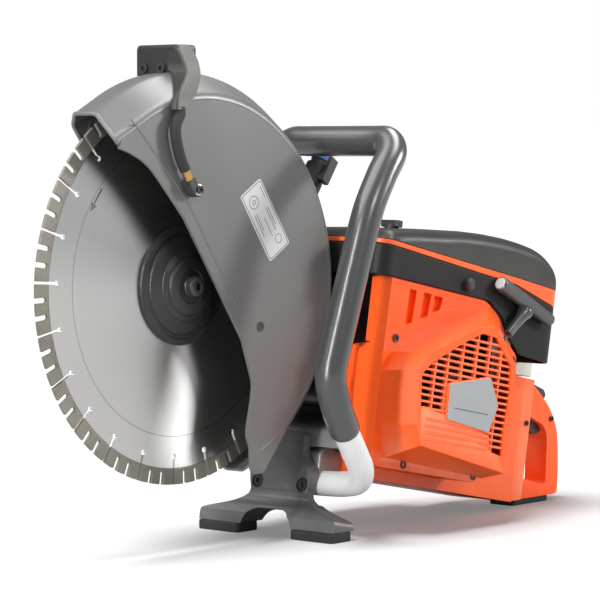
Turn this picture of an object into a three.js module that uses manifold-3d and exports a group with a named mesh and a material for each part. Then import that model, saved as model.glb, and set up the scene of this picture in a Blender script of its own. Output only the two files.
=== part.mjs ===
// Petrol power cutter (concrete cut-off saw) for a 350 mm diamond blade.
// Millimetres, +Z up. The blade leads towards -Y, the starter side is +X, the belt side is -X.
// The origin is the bottom centre of the whole machine, standing on its two front feet and rear pad.
import * as THREE from 'three';
import { mergeVertices } from 'three/addons/utils/BufferGeometryUtils.js';
import Module from 'manifold-3d';

const wasm = await Module();
wasm.setup();

// ---------------------------------------------------------------- driving dimensions
const GAP = 0.3;                         // clearance between touching pieces
const RAD = Math.PI / 180;
const PITCH = 11 * RAD;                  // nose-up tilt of the machine body on its feet
const BLADE_RADIUS = 175;
const BLADE_HEIGHT = 235;                // blade axis above the ground
const CRANK_BACK = 261;                  // crankshaft axis behind the blade axis
const CRANK_HEIGHT = 118;
const BODY_X = -8;                       // machine body's own middle, from the blade plane
const ENGINE_X = 20;                     // middle plane of the cylinder, in the body
const FLANGE_RADIUS = 52.5;
const SHAFT_RADIUS = 8.5;
const BLADE_PULLEY_RADIUS = 38;
const DRUM_PULLEY_RADIUS = 19;
const BELT_THICKNESS = 4;
const GUARD_RADIUS = 187;
const GUARD_LEFT = 36;                   // outer face of the guard's left plate
const GUARD_RIGHT = -25;                 // outer face of the guard's right plate
const GUARD_WALL = 2.5;
const GUARD_STEP = 6;                    // degrees between the guard's facets
const COVER_LEFT = 94;                   // covers' left and right sides
const COVER_RIGHT = -32;
const COVER_FRONT = -105;
const COVER_REAR = 178;
const COVER_WALL = 3;
const STARTER_INNER = 57.5;              // starter cover: open edge, flat face and bulge face
const STARTER_FACE = 92;
const STARTER_BULGE = 128;
const HANDLE_BACK = 9;                   // front handle's own zero, behind the blade axis
const TUBE_RADIUS = 11.8;                // front handle: bare tube, and the soft sleeve over it
const SLEEVE_RADIUS = 14;
const HANDLE_LEFT = 48;                  // rear handle's sides at the grip
const HANDLE_RIGHT = 22;
const FOOT_THICKNESS = 9;
const MORE = 200;                        // reach of a cutting block past what it cuts
const STAND_FRONT = 121;                 // front of the stand at the ground
const STAND_NECK = 23;                   // from the feet's front to the back of the stand's neck

// Back of the stand's neck in the tilted body's own side view.
const STAND_BACK = (STAND_FRONT - CRANK_BACK) * Math.cos(PITCH) + CRANK_HEIGHT * Math.sin(PITCH)
  + STAND_NECK + GAP;
// Side-view direction from the blade axis to the crankshaft axis.
const ARM_LENGTH = Math.hypot(CRANK_BACK, BLADE_HEIGHT - CRANK_HEIGHT);
const ARM_ANGLE = Math.atan2(CRANK_HEIGHT - BLADE_HEIGHT, CRANK_BACK);

// ---------------------------------------------------------------- materials
const finish = (color, roughness, metalness) => ({ color, roughness, metalness });
const FINISH = {
  orange: finish(0xf4561c, 0.38, 0),
  cover: finish(0x55544f, 0.5, 0),
  grip: finish(0x4a4b4b, 0.6, 0),
  guard: finish(0x9a9a98, 0.42, 0.6),
  steel: finish(0xb9bab8, 0.3, 1),
  darkSteel: finish(0x2c2c2d, 0.45, 0.8),
  aluminium: finish(0xa9abac, 0.5, 0.9),
  bright: finish(0xd8dadb, 0.25, 1),
  black: finish(0x1d1d1e, 0.55, 0),
  rubber: finish(0x18181a, 0.85, 0),
  brass: finish(0xc98a4b, 0.35, 1),
  blue: finish(0x2466b0, 0.45, 0),
  paper: finish(0xd9d4c4, 0.9, 0),
  natural: finish(0xd8d3c6, 0.6, 0),
};

// ---------------------------------------------------------------- geometry helpers
const TO_X = new THREE.Matrix4().makeBasis(
  new THREE.Vector3(0, 1, 0), new THREE.Vector3(0, 0, 1), new THREE.Vector3(1, 0, 0));
const TO_Y = new THREE.Matrix4().makeBasis(
  new THREE.Vector3(1, 0, 0), new THREE.Vector3(0, 0, 1), new THREE.Vector3(0, -1, 0));

function signedVolume(geometry) {
  const p = geometry.getAttribute('position');
  const [a, b, c] = [new THREE.Vector3(), new THREE.Vector3(), new THREE.Vector3()];
  let volume = 0;
  for (let i = 0; i < geometry.index.count; i += 3) {
    a.fromBufferAttribute(p, geometry.index.getX(i));
    b.fromBufferAttribute(p, geometry.index.getX(i + 1));
    c.fromBufferAttribute(p, geometry.index.getX(i + 2));
    volume += a.dot(b.cross(c));
  }
  return volume / 6;
}

// Shared vertices, faces outward.
function closed(source) {
  const geometry = source.clone();
  geometry.deleteAttribute('normal');
  geometry.deleteAttribute('uv');
  const merged = mergeVertices(geometry, 1e-4);
  if (signedVolume(merged) < 0) merged.index.array.reverse();
  return merged;
}

function solid(source) {
  const geometry = closed(source);
  return new wasm.Manifold(new wasm.Mesh({
    numProp: 3,
    vertProperties: new Float32Array(geometry.getAttribute('position').array),
    triVerts: new Uint32Array(geometry.index.array),
  }));
}

function geometryOf(body) {
  const mesh = body.getMesh();
  const geometry = new THREE.BufferGeometry();
  geometry.setAttribute('position', new THREE.BufferAttribute(mesh.vertProperties, 3));
  geometry.setIndex(new THREE.BufferAttribute(mesh.triVerts, 1));
  return geometry;
}

const join = (first, ...others) =>
  geometryOf(others.reduce((body, other) => body.add(solid(other)), solid(first)));
const cut = (first, ...others) =>
  geometryOf(others.reduce((body, other) => body.subtract(solid(other)), solid(first)));
const common = (first, ...others) =>
  geometryOf(others.reduce((body, other) => body.intersect(solid(other)), solid(first)));

// A polygon whose corners are rounded by the third number of a point, where it has one.
function outline(points, path = new THREE.Shape()) {
  const count = points.length;
  points.forEach((point, i) => {
    const here = new THREE.Vector2(point[0], point[1]);
    const radius = point[2] ?? 0;
    if (!radius) {
      if (i === 0) path.moveTo(here.x, here.y);
      else path.lineTo(here.x, here.y);
      return;
    }
    const before = points[(i + count - 1) % count];
    const after = points[(i + 1) % count];
    const start = new THREE.Vector2(before[0], before[1]).sub(here).setLength(radius).add(here);
    const end = new THREE.Vector2(after[0], after[1]).sub(here).setLength(radius).add(here);
    if (i === 0) path.moveTo(start.x, start.y);
    else path.lineTo(start.x, start.y);
    path.quadraticCurveTo(here.x, here.y, end.x, end.y);
  });
  path.closePath();
  return path;
}

const circle = (radius, x = 0, y = 0, path = new THREE.Shape()) => {
  path.absarc(x, y, radius, 0, 2 * Math.PI, false);
  return path;
};

function rectangle(x0, y0, x1, y1, radius = 0) {
  return outline([[x0, y0, radius], [x1, y0, radius], [x1, y1, radius], [x0, y1, radius]]);
}

function extrude(shape, low, high, curveSegments) {
  return new THREE.ExtrudeGeometry(shape, { depth: high - low, bevelEnabled: false, curveSegments })
    .translate(0, 0, low);
}
const extrudeZ = (shape, z0, z1, segments = 4) => extrude(shape, z0, z1, segments);
const extrudeX = (shape, x0, x1, segments = 4) => extrude(shape, x0, x1, segments).applyMatrix4(TO_X);
const extrudeY = (shape, y0, y1, segments = 4) => extrude(shape, -y1, -y0, segments).applyMatrix4(TO_Y);

const box = (x0, y0, z0, x1, y1, z1) => new THREE.BoxGeometry(x1 - x0, y1 - y0, z1 - z0)
  .translate((x0 + x1) / 2, (y0 + y1) / 2, (z0 + z1) / 2);
const rodX = (radius, x0, x1, y = 0, z = 0, sides = 24) =>
  new THREE.CylinderGeometry(radius, radius, x1 - x0, sides).rotateZ(-Math.PI / 2)
    .translate((x0 + x1) / 2, y, z);
const rodY = (radius, y0, y1, x = 0, z = 0, sides = 24) =>
  new THREE.CylinderGeometry(radius, radius, y1 - y0, sides).translate(x, (y0 + y1) / 2, z);
const rodZ = (radius, z0, z1, x = 0, y = 0, sides = 24) =>
  new THREE.CylinderGeometry(radius, radius, z1 - z0, sides).rotateX(Math.PI / 2)
    .translate(x, y, (z0 + z1) / 2);

// A turned piece: [position along the axis, radius] pairs.
const turned = (profile, sides) =>
  new THREE.LatheGeometry(profile.map(([along, radius]) => new THREE.Vector2(radius, along)), sides);
const turnedX = (profile, sides = 32) => turned(profile, sides).rotateZ(-Math.PI / 2);
const turnedZ = (profile, sides = 32) => turned(profile, sides).rotateX(Math.PI / 2);

function ringX(inner, outer, x0, x1, sides = 24) {
  return turnedX([[x0, inner], [x0, outer], [x1, outer], [x1, inner], [x0, inner]], sides);
}

// Tube of round section along a smooth line through the points.
function tubeAlong(points, radius, sides, steps, tension = 0.5) {
  const path = new THREE.CatmullRomCurve3(points.map((p) => new THREE.Vector3(...p)), false,
    'catmullrom', tension);
  const section = new THREE.Shape();
  for (let i = 0; i < sides; i += 1) {
    const angle = (2 * Math.PI * i) / sides;
    const [x, y] = [radius * Math.cos(angle), radius * Math.sin(angle)];
    if (i === 0) section.moveTo(x, y);
    else section.lineTo(x, y);
  }
  section.closePath();
  return new THREE.ExtrudeGeometry(section, { steps, extrudePath: path, bevelEnabled: false });
}

// Closed skin through rings of equal point count, capped at both ends.
function loft(rings, capShape) {
  const count = rings[0].length;
  const positions = rings.flat(2);
  const index = [];
  for (let r = 0; r < rings.length - 1; r += 1) {
    for (let i = 0; i < count; i += 1) {
      const j = (i + 1) % count;
      const [a, b] = [r * count + i, r * count + j];
      index.push(a, b, b + count, a, b + count, a + count);
    }
  }
  const cap = capShape.map(([x, y]) => new THREE.Vector2(x, y));
  const turned = THREE.ShapeUtils.isClockWise(cap);
  const last = (rings.length - 1) * count;
  THREE.ShapeUtils.triangulateShape(cap, []).forEach((face) => {
    const [a, b, c] = turned ? [...face].reverse() : face;
    index.push(a, c, b, last + a, last + b, last + c);
  });
  const geometry = new THREE.BufferGeometry();
  geometry.setAttribute('position', new THREE.Float32BufferAttribute(positions, 3));
  geometry.setIndex(index);
  return geometry;
}

// Outline round two circles on one line, as a belt or an arm has.
function beltShape(radius0, radius1, distance, path = new THREE.Shape()) {
  const lean = Math.asin((radius0 - radius1) / distance);
  path.absarc(0, 0, radius0, Math.PI / 2 - lean, 1.5 * Math.PI + lean, false);
  path.absarc(distance, 0, radius1, -Math.PI / 2 + lean, Math.PI / 2 - lean, false);
  path.closePath();
  return path;
}

// ---------------------------------------------------------------- scene graph
const product = new THREE.Group();
const machine = new THREE.Group();           // ground frame below the blade axis
const bladeAxis = new THREE.Group();         // turning pieces on the blade axis
const guardFrame = new THREE.Group();        // blade guard, swings about the blade axis
const armFrame = new THREE.Group();          // +Y runs from the blade axis to the crankshaft
const body = new THREE.Group();              // tilted machine body, centred on the crankshaft
const driveFrame = new THREE.Group();        // clutch side of the crankshaft, in line with the arm
const handleFrame = new THREE.Group();       // front handle
product.add(machine);
machine.add(bladeAxis, guardFrame, armFrame, body, driveFrame, handleFrame);
bladeAxis.position.z = BLADE_HEIGHT;
guardFrame.position.z = BLADE_HEIGHT;
armFrame.position.z = BLADE_HEIGHT;
armFrame.rotation.x = ARM_ANGLE;
body.position.set(BODY_X, CRANK_BACK, CRANK_HEIGHT);
body.rotation.x = -PITCH;
driveFrame.position.set(0, CRANK_BACK, CRANK_HEIGHT);
driveFrame.rotation.x = -PITCH;
handleFrame.position.set(BODY_X, HANDLE_BACK, 0);

function add(group, name, look, geometry) {
  const mesh = new THREE.Mesh(closed(geometry), new THREE.MeshStandardMaterial(FINISH[look]));
  mesh.name = name;
  group.add(mesh);
  return mesh;
}

// ---------------------------------------------------------------- blade and its drive
function bladeOutline() {
  const SLOTS = 24;
  const FIRST_SLOT = 177 * RAD;
  const TEETH = 3;
  const TIP = BLADE_RADIUS;
  const NOTCH_FLOOR = 163;
  const KEYHOLE = { radius: 2.6, centre: 150.5, halfWidth: 1.2 };
  const NOTCH_HALF_WIDTH = 2.2;
  const shape = new THREE.Shape();
  const points = [];
  const polar = (radius, angle) => points.push([radius * Math.cos(angle), radius * Math.sin(angle)]);
  for (let slot = 0; slot < SLOTS; slot += 1) {
    const middle = FIRST_SLOT + (slot * 2 * Math.PI) / SLOTS;
    const pitch = (2 * Math.PI) / SLOTS;
    const { radius, centre, halfWidth } = KEYHOLE;
    polar(TIP, middle - halfWidth / TIP);
    for (let turn = 30; turn <= 330; turn += 60) {
      const along = centre + radius * Math.cos(turn * RAD);
      polar(along, middle - (radius * Math.sin(turn * RAD)) / along);
    }
    polar(TIP, middle + halfWidth / TIP);
    for (let tooth = 1; tooth < TEETH; tooth += 1) {
      const notch = middle + (tooth * pitch) / TEETH;
      polar(TIP, notch - NOTCH_HALF_WIDTH / TIP);
      polar(NOTCH_FLOOR, notch - NOTCH_HALF_WIDTH / NOTCH_FLOOR);
      polar(NOTCH_FLOOR, notch + NOTCH_HALF_WIDTH / NOTCH_FLOOR);
      polar(TIP, notch + NOTCH_HALF_WIDTH / TIP);
    }
  }
  return outline(points, shape);
}

// Space that the swinging blade guard needs, seen from the body.
function guardSweep() {
  const CLEAR = 3;
  return turnedX([[GUARD_LEFT + CLEAR, 0], [GUARD_LEFT + CLEAR, GUARD_RADIUS - 16],
    [11, GUARD_RADIUS + CLEAR], [-17, GUARD_RADIUS + CLEAR], [GUARD_RIGHT - CLEAR, GUARD_RADIUS - 9],
    [GUARD_RIGHT - CLEAR, 0]], 64)
    .translate(-BODY_X, -CRANK_BACK, BLADE_HEIGHT - CRANK_HEIGHT).rotateX(PITCH);
}

function addBladeGroup() {
  const BLADE_HALF = 1.5;
  const BORE = 12.7;
  const HUB_SPIGOT = 12.4;
  const FLANGE_IN = BLADE_HALF + GAP;
  const BOLT = { head: 9, shank: 4, headFrom: 16.3, headTo: 24, socket: 3.5, socketDepth: 5 };
  const SHAFT = { left: 15.8, right: -72, bore: 4.4, boreEnd: -34 };
  const shape = bladeOutline();
  shape.holes.push(circle(BORE, 0, 0, new THREE.Path()));
  add(bladeAxis, 'diamond_blade', 'steel', extrudeX(shape, -BLADE_HALF, BLADE_HALF, 8));

  const flangeBore = SHAFT_RADIUS + GAP;
  add(bladeAxis, 'outer_flange', 'darkSteel', turnedX([
    [FLANGE_IN, flangeBore], [FLANGE_IN, FLANGE_RADIUS], [4.5, FLANGE_RADIUS], [8.5, 47], [10, 34],
    [16, 24], [16, flangeBore], [FLANGE_IN, flangeBore]], 40));
  add(bladeAxis, 'inner_flange', 'darkSteel', turnedX([
    [BLADE_HALF, flangeBore], [BLADE_HALF, HUB_SPIGOT], [-FLANGE_IN, HUB_SPIGOT],
    [-FLANGE_IN, FLANGE_RADIUS], [-4.5, FLANGE_RADIUS], [-9, 44], [-13.5, 20], [-13.5, flangeBore],
    [BLADE_HALF, flangeBore]], 28));
  add(bladeAxis, 'arbor_bolt', 'darkSteel', turnedX([
    [BOLT.headTo - BOLT.socketDepth, 0], [BOLT.headTo - BOLT.socketDepth, BOLT.socket],
    [BOLT.headTo, BOLT.socket], [BOLT.headTo, BOLT.head - 1.5], [BOLT.headTo - 1.5, BOLT.head],
    [BOLT.headFrom, BOLT.head], [BOLT.headFrom, BOLT.shank], [SHAFT.boreEnd + 2, BOLT.shank],
    [SHAFT.boreEnd + 2, 0]], 16));
  add(bladeAxis, 'spindle_shaft', 'steel', turnedX([
    [SHAFT.boreEnd, 0], [SHAFT.boreEnd, SHAFT.bore], [SHAFT.left, SHAFT.bore],
    [SHAFT.left, SHAFT_RADIUS], [SHAFT.right, SHAFT_RADIUS], [SHAFT.right, 0]], 20));
  add(bladeAxis, 'blade_pulley', 'aluminium', turnedX([
    [-48, flangeBore], [-48, BLADE_PULLEY_RADIUS + 1.5], [-49.5, BLADE_PULLEY_RADIUS],
    [-64.5, BLADE_PULLEY_RADIUS], [-66, BLADE_PULLEY_RADIUS + 1.5], [-66, flangeBore],
    [-48, flangeBore]], 24));
}

// ---------------------------------------------------------------- cutting arm
const ARM = { left: -28, right: -44.7, spindleRadius: 48, crankRadius: 54, boss: 30, bossLeft: -16.5 };

function addArm() {
  const BEARING_OUTER = 20;
  const CRANK_BORE = 43;
  const COVER = { right: -79, wall: 2.5 };
  const LEFT_BEARING = [-28, -17.2];
  const RIGHT_BEARING = [-43, -32];
  const plate = beltShape(ARM.spindleRadius, ARM.crankRadius, ARM_LENGTH);
  add(armFrame, 'cutting_arm', 'cover', cut(
    join(extrudeX(plate, ARM.right, ARM.left, 8), rodX(ARM.boss, ARM.left - 1, ARM.bossLeft, 0, 0, 32)),
    rodX(BEARING_OUTER + GAP, ARM.right - MORE, ARM.bossLeft + MORE),
    rodX(CRANK_BORE, ARM.right - 1, ARM.left + 1, ARM_LENGTH, 0, 32)));
  const outside = beltShape(ARM.spindleRadius + 1, ARM.crankRadius + 1, ARM_LENGTH);
  const inside = beltShape(ARM.spindleRadius + 1 - COVER.wall, ARM.crankRadius + 1 - COVER.wall,
    ARM_LENGTH);
  add(armFrame, 'belt_guard', 'cover', cut(
    extrudeX(outside, COVER.right, ARM.right - GAP, 8),
    extrudeX(inside, COVER.right + COVER.wall, ARM.right + 1, 8)));
  const ring = ([x0, x1]) => ringX(SHAFT_RADIUS + GAP, BEARING_OUTER, x0, x1);
  add(armFrame, 'spindle_bearing_left', 'steel', ring(LEFT_BEARING));
  add(armFrame, 'spindle_bearing_right', 'steel', ring(RIGHT_BEARING));
  const belt = beltShape(BLADE_PULLEY_RADIUS + GAP + BELT_THICKNESS,
    DRUM_PULLEY_RADIUS + GAP + BELT_THICKNESS, ARM_LENGTH);
  belt.holes.push(beltShape(BLADE_PULLEY_RADIUS + GAP, DRUM_PULLEY_RADIUS + GAP, ARM_LENGTH,
    new THREE.Path()));
  add(armFrame, 'drive_belt', 'rubber', extrudeX(belt, -64, -50, 12));
}

// ---------------------------------------------------------------- blade guard
// Half section of the guard at one angle round the blade axis, as [x, radius] from the left
// plate over the shoulder and rim to the right plate. Angle 0 leads forward, 90 is up.
const GUARD_ARC = { mouth: 48, straightTo: 62, end: -114, legLength: 26 };
const MOUTH = { setBack: 5, fadeTo: 60 };   // degrees the rim and right side start behind the left
const RIM = { left: 8, right: -14, shoulderDrop: 19, farDrop: 12 };

function rimRadius(angle) {
  const turnToStraight = Math.max(GUARD_ARC.straightTo - angle, 0);
  return GUARD_RADIUS / Math.cos(turnToStraight * RAD);
}

function guardProfile(angle, grow, legLength) {
  const rim = rimRadius(angle) + grow;
  const leftTop = rim - RIM.shoulderDrop;
  const rightTop = rim - RIM.farDrop;
  return [
    [GUARD_LEFT + grow, leftTop - legLength], [GUARD_LEFT + grow, leftTop], [RIM.left, rim],
    [RIM.right, rim], [GUARD_RIGHT - grow, rightTop], [GUARD_RIGHT - grow, rightTop - legLength]];
}

const aroundBlade = ([x, radius], angle) =>
  [x, -radius * Math.cos(angle * RAD), radius * Math.sin(angle * RAD)];

// The profile at one angle, its rim and right side set back near the mouth.
function guardRing(angle, grow, legLength) {
  const fade = Math.max((MOUTH.fadeTo - angle) / (MOUTH.fadeTo - GUARD_ARC.mouth), 0);
  const back = angle + MOUTH.setBack * fade;
  const near = guardProfile(angle, grow, legLength).map((point) => aroundBlade(point, angle));
  const far = guardProfile(back, grow, legLength).map((point) => aroundBlade(point, back));
  return [...near.slice(0, 2), ...far.slice(2)];
}

function guardAngles() {
  const { mouth, end } = GUARD_ARC;
  const total = 360 + end - mouth;
  const count = Math.round(total / GUARD_STEP);
  return Array.from({ length: count + 1 }, (unused, i) => mouth + (total * i) / count);
}

function guardHoop() {
  const angles = guardAngles();
  const rings = angles.map((angle) => [...guardRing(angle, 0, GUARD_ARC.legLength),
    ...guardRing(angle, -GUARD_WALL, GUARD_ARC.legLength - GUARD_WALL).reverse()]);
  const cap = [...guardProfile(GUARD_ARC.mouth, 0, GUARD_ARC.legLength),
    ...guardProfile(GUARD_ARC.mouth, -GUARD_WALL, GUARD_ARC.legLength - GUARD_WALL).reverse()];
  return loft(rings, cap);
}

function guardPlate(points, x0, x1) {
  return extrudeX(outline(points), x0, x1, 8);
}

function rimArc({ from, to, step }, inset) {
  const points = [];
  for (let angle = from; angle <= to; angle += step) {
    const [, y, z] = aroundBlade([0, rimRadius(angle) - inset], angle);
    points.push([y, z]);
  }
  return points;
}

function addGuard() {
  const INSET = RIM.shoulderDrop + 2;
  const LEFT_EDGE = [[102, -134.5], [72.5, -169, 3], [58.7, -169.5, 3], [55.5, -163], [54.9, -145],
    [49.8, -133, 6], [57.2, -101, 6], [58.8, -88, 6], [44.6, -48.5], [-30, 60], [-55, 87, 20],
    [-76, 108, 14], [-98, 117], [-108, 119]];
  const RIGHT_EDGE = [[102, -134.5], [85.5, -160], [55, -148], [40, -60, 16], [-16, -42, 14],
    [-42, 0, 20], [-34, 60, 14], [-76, 108, 14], [-93.5, 124]];
  const HUB_BORE = ARM.boss + 0.6;
  const HOLE = { radius: 3, y: 68, z: -37.7 };
  const ARC = { from: 50, to: 226, step: 8 };       // stretch of the plates that follows the rim
  const left = guardPlate([...LEFT_EDGE, ...rimArc(ARC, INSET)], GUARD_LEFT - GUARD_WALL, GUARD_LEFT);
  const right = guardPlate([...RIGHT_EDGE, ...rimArc({ ...ARC, from: MOUTH.fadeTo }, INSET)],
    GUARD_RIGHT, GUARD_RIGHT + GUARD_WALL);
  const hub = ringX(HUB_BORE, HUB_BORE + 6, GUARD_RIGHT, -18, 32);
  add(guardFrame, 'blade_guard', 'guard', cut(
    join(guardHoop(), left, right, hub),
    rodX(HUB_BORE, GUARD_RIGHT - 5, -15, 0, 0, 32),
    rodX(HOLE.radius, GUARD_LEFT - 5, GUARD_LEFT + 5, HOLE.y, HOLE.z, 12)));
  addGuardGrip();
}

// Rectangular ring of points at one height, for a lofted arm.
const level = (z, x0, x1, y0, y1) => [[x0, y0, z], [x1, y0, z], [x1, y1, z], [x0, y1, z]];

function addGuardGrip() {
  const TOP = { left: -2, right: -38, front: -14, rear: 12, low: 180, high: 211 };
  const CLEAR = GAP;
  const envelope = () => {
    const angles = guardAngles();
    const section = (angle) => [
      ...guardProfile(angle, CLEAR, GUARD_ARC.legLength), [GUARD_RIGHT, 90], [GUARD_LEFT, 90]];
    return loft(angles.map((a) => section(a).map((p) => aroundBlade(p, a))), section(angles[0]));
  };
  const block = extrudeX(outline([[TOP.front, TOP.low], [TOP.rear, TOP.low], [TOP.rear, TOP.high, 6],
    [TOP.front, TOP.high, 5]]), TOP.right, TOP.left);
  const inside = TOP.left - 2;
  const rings = [
    level(TOP.high - 0.5, inside, 10, -12, 3), level(204, inside, 14, -14.5, 4),
    level(190, inside, 24, -16, -1), level(173, 22, 36, -34, -15), level(153.5, 36.3, 45, -52, -38)];
  const cap = rings[0].map(([x, y]) => [x, y]);
  const plateClear = box(GUARD_RIGHT, -MORE, 90, GUARD_LEFT + CLEAR, MORE, 165);
  add(guardFrame, 'guard_adjust_grip', 'grip',
    cut(join(block, loft(rings, cap)), envelope(), plateClear));
  addSprayLine();
}

// Water line from the grip down to the spray nozzle on the guard's left plate.
const SPRAY_HOSE = [[42, -43, 149.2], [42.6, -48, 142], [43, -49.5, 134], [43, -47.5, 124],
  [43, -43, 111.5], [43, -37.3, 102]];
const HOSE_RADIUS = 4.8;

function addSprayLine() {
  const PLATE = GUARD_LEFT + GAP;
  const FITTING = { radius: 4, length: 9.3, x: 43, y: -32.4, z: 93.8, lean: 31 * RAD };
  const SEAT = { radius: 6.3, left: 45.5, y: -23.3, z: 85 };
  const LUG = [[-36.1, 91.2], [-28.3, 95.8], [-22.2, 85.5], [-29.9, 80.9]];
  add(guardFrame, 'spray_hose', 'rubber', tubeAlong(SPRAY_HOSE, HOSE_RADIUS, 10, 12));
  add(guardFrame, 'hose_fitting', 'brass', rodZ(FITTING.radius, 0, FITTING.length, 0, 0, 12)
    .rotateX(FITTING.lean).translate(FITTING.x, FITTING.y, FITTING.z));
  add(guardFrame, 'spray_nozzle', 'black', join(
    rodX(SEAT.radius, PLATE, SEAT.left, SEAT.y, SEAT.z, 16),
    extrudeX(outline(LUG), PLATE, FITTING.x + FITTING.radius)));
}

// ---------------------------------------------------------------- front handle and stand
const HANDLE_PATH = [
  [8, 158, 47], [40, 157, 47.5], [66, 154, 49.5], [84, 148, 54.5], [95, 138, 66], [101, 124, 80],
  [109, 99.5, 104.5], [112, 84, 126], [112, 75, 154], [112, 82, 180], [112, 91, 205], [112, 108, 252],
  [112, 126, 298], [110, 147, 329], [106, 167, 350], [94, 177, 361], [76, 179, 362], [40, 179, 362],
  [0, 179, 362], [-22, 181, 361], [-39, 188, 351], [-50, 203, 318], [-60, 230, 272], [-66, 268, 226],
  [-66, 302, 180], [-62, 322, 130], [-56, 332, 92], [-50, 336, 66]];
const SLEEVE = { first: 6, last: 22, looseness: 0.8 };   // stretch of the path the sleeve covers
const HANDLE_SIDES = 10;
const HANDLE_STEPS = 56;

function sleevePath(radius, extend) {
  const path = HANDLE_PATH.slice(SLEEVE.first, SLEEVE.last + 1).map((p) => [...p]);
  const stretch = (end, next) => end.map((value, i) => value + (value - next[i]) * extend);
  path[0] = stretch(path[0], path[1]);
  path[path.length - 1] = stretch(path[path.length - 1], path[path.length - 2]);
  return tubeAlong(path, radius, HANDLE_SIDES, 34);
}

function addFrontHandle() {
  add(handleFrame, 'front_handle_tube', 'bright',
    tubeAlong(HANDLE_PATH, TUBE_RADIUS, HANDLE_SIDES, HANDLE_STEPS));
  add(handleFrame, 'front_handle_grip', 'grip',
    cut(sleevePath(SLEEVE_RADIUS, 0),
      tubeAlong(HANDLE_PATH, TUBE_RADIUS + SLEEVE.looseness, HANDLE_SIDES, HANDLE_STEPS)));
}

const STAND = { middle: -7, halfBase: 82, halfInner: 31, front: STAND_FRONT, depth: 28,
  neckDepth: STAND_NECK, setBack: 13 };

function addStand() {
  const { middle, halfBase, halfInner, front, depth, neckDepth, setBack } = STAND;
  const SOLE = FOOT_THICKNESS + GAP;
  const BOLT = { spread: 27, height: 51, radius: 6.8, sunk: 4.5 };
  const half = [[halfBase, 0], [halfBase, 21, 5], [46, 31, 10], [33, 40, 6], [37, 54, 6], [38, 66, 4],
    [27, 74, 4], [23, 80, 3], [23, 98, 4]];
  const mirror = ([x, z, radius]) => [-x, z, radius];
  const arch = [[-halfInner, 0], [-halfInner, 12, 8], [-20, 26, 9], [20, 26, 9],
    [halfInner, 12, 8], [halfInner, 0]];
  const front2d = [...half, ...half.map(mirror).reverse(), ...arch];
  const lean = new THREE.Matrix4().makeRotationX(-PITCH).setPosition(middle, front, 0);
  const flat = (geometry) => geometry.applyMatrix4(lean);
  const under = box(-MORE, -MORE, -MORE, MORE, 2 * MORE, SOLE);
  const behindNeck = flat(box(-MORE, neckDepth, 34, MORE, MORE, MORE));
  const TOE = [[-5, 17], [0, 20], [setBack, 36, 5], [setBack, MORE], [-5, MORE]];
  const overFeet = flat(extrudeX(outline(TOE), -MORE, MORE));
  const seats = [-BOLT.spread, BOLT.spread].map((x) =>
    flat(rodY(BOLT.radius, -5, setBack + BOLT.sunk, x, BOLT.height, 16)));
  add(machine, 'front_stand', 'cover', cut(
    cut(flat(extrudeY(outline(front2d), 0, depth)), under, behindNeck, overFeet), ...seats));
  [['left', 1], ['right', -1]].forEach(([name, side]) => {
    const [inner, outer] = [halfInner, halfBase].map((x) => middle + side * x);
    add(machine, `front_foot_${name}`, 'rubber', extrudeZ(
      rectangle(Math.min(inner, outer), front - 1, Math.max(inner, outer), front + depth + 1, 5),
      0, FOOT_THICKNESS));
  });
}

// ---------------------------------------------------------------- engine
function addCrankTrain() {
  const WEB = { radius: 36, thickness: 12, inner: 8 };
  const JOURNAL = 7.6;
  const PIN = { radius: 7, throw: 19 };
  const ROD_HALF = 6;
  const PISTON = { radius: 27.6, wall: 4, top: 108, skirt: 76, crown: 7, pinHeight: 89, pinRadius: 5 };
  const [leftWeb, rightWeb] = [ENGINE_X + WEB.inner, ENGINE_X - WEB.inner];
  add(body, 'crankshaft_left', 'steel', turnedX([
    [leftWeb, 0], [leftWeb, WEB.radius], [leftWeb + WEB.thickness, WEB.radius],
    [leftWeb + WEB.thickness, JOURNAL], [90, JOURNAL], [90, 0]], 28));
  add(body, 'crankshaft_right', 'steel', turnedX([
    [rightWeb, 0], [rightWeb, WEB.radius], [rightWeb - WEB.thickness, WEB.radius],
    [rightWeb - WEB.thickness, JOURNAL], [-62, JOURNAL], [-62, 0]], 28));
  add(body, 'crank_pin', 'steel',
    rodX(PIN.radius, rightWeb + GAP, leftWeb - GAP, 0, PIN.throw, 16));
  const rodOutline = outline([[-11, PIN.throw - 8, 8], [11, PIN.throw - 8, 8], [11, 30, 8], [6, 44],
    [6, 76], [9, 84, 5], [9, 98, 5], [-9, 98, 5], [-9, 84, 5], [-6, 76], [-6, 44], [-11, 30, 8]]);
  rodOutline.holes.push(circle(PIN.radius + GAP, 0, PIN.throw, new THREE.Path()));
  rodOutline.holes.push(circle(PISTON.pinRadius + GAP, 0, PISTON.pinHeight, new THREE.Path()));
  add(body, 'connecting_rod', 'steel',
    extrudeX(rodOutline, ENGINE_X - ROD_HALF, ENGINE_X + ROD_HALF, 8));
  const cup = turnedZ([[PISTON.top - PISTON.crown, 0],
    [PISTON.top - PISTON.crown, PISTON.radius - PISTON.wall],
    [PISTON.skirt, PISTON.radius - PISTON.wall], [PISTON.skirt, PISTON.radius],
    [PISTON.top, PISTON.radius], [PISTON.top, 0]], 28).translate(ENGINE_X, 0, 0);
  const pinStretch = PISTON.radius - 1;
  add(body, 'piston', 'aluminium', join(cup,
    rodX(PISTON.pinRadius, ENGINE_X - pinStretch, ENGINE_X + pinStretch, 0, PISTON.pinHeight, 16)));
}

const CASE = { right: -19.6, left: 56, radius: 50, top: 52, pocket: 37, rightWall: 11.4, leftWall: 14 };

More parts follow.
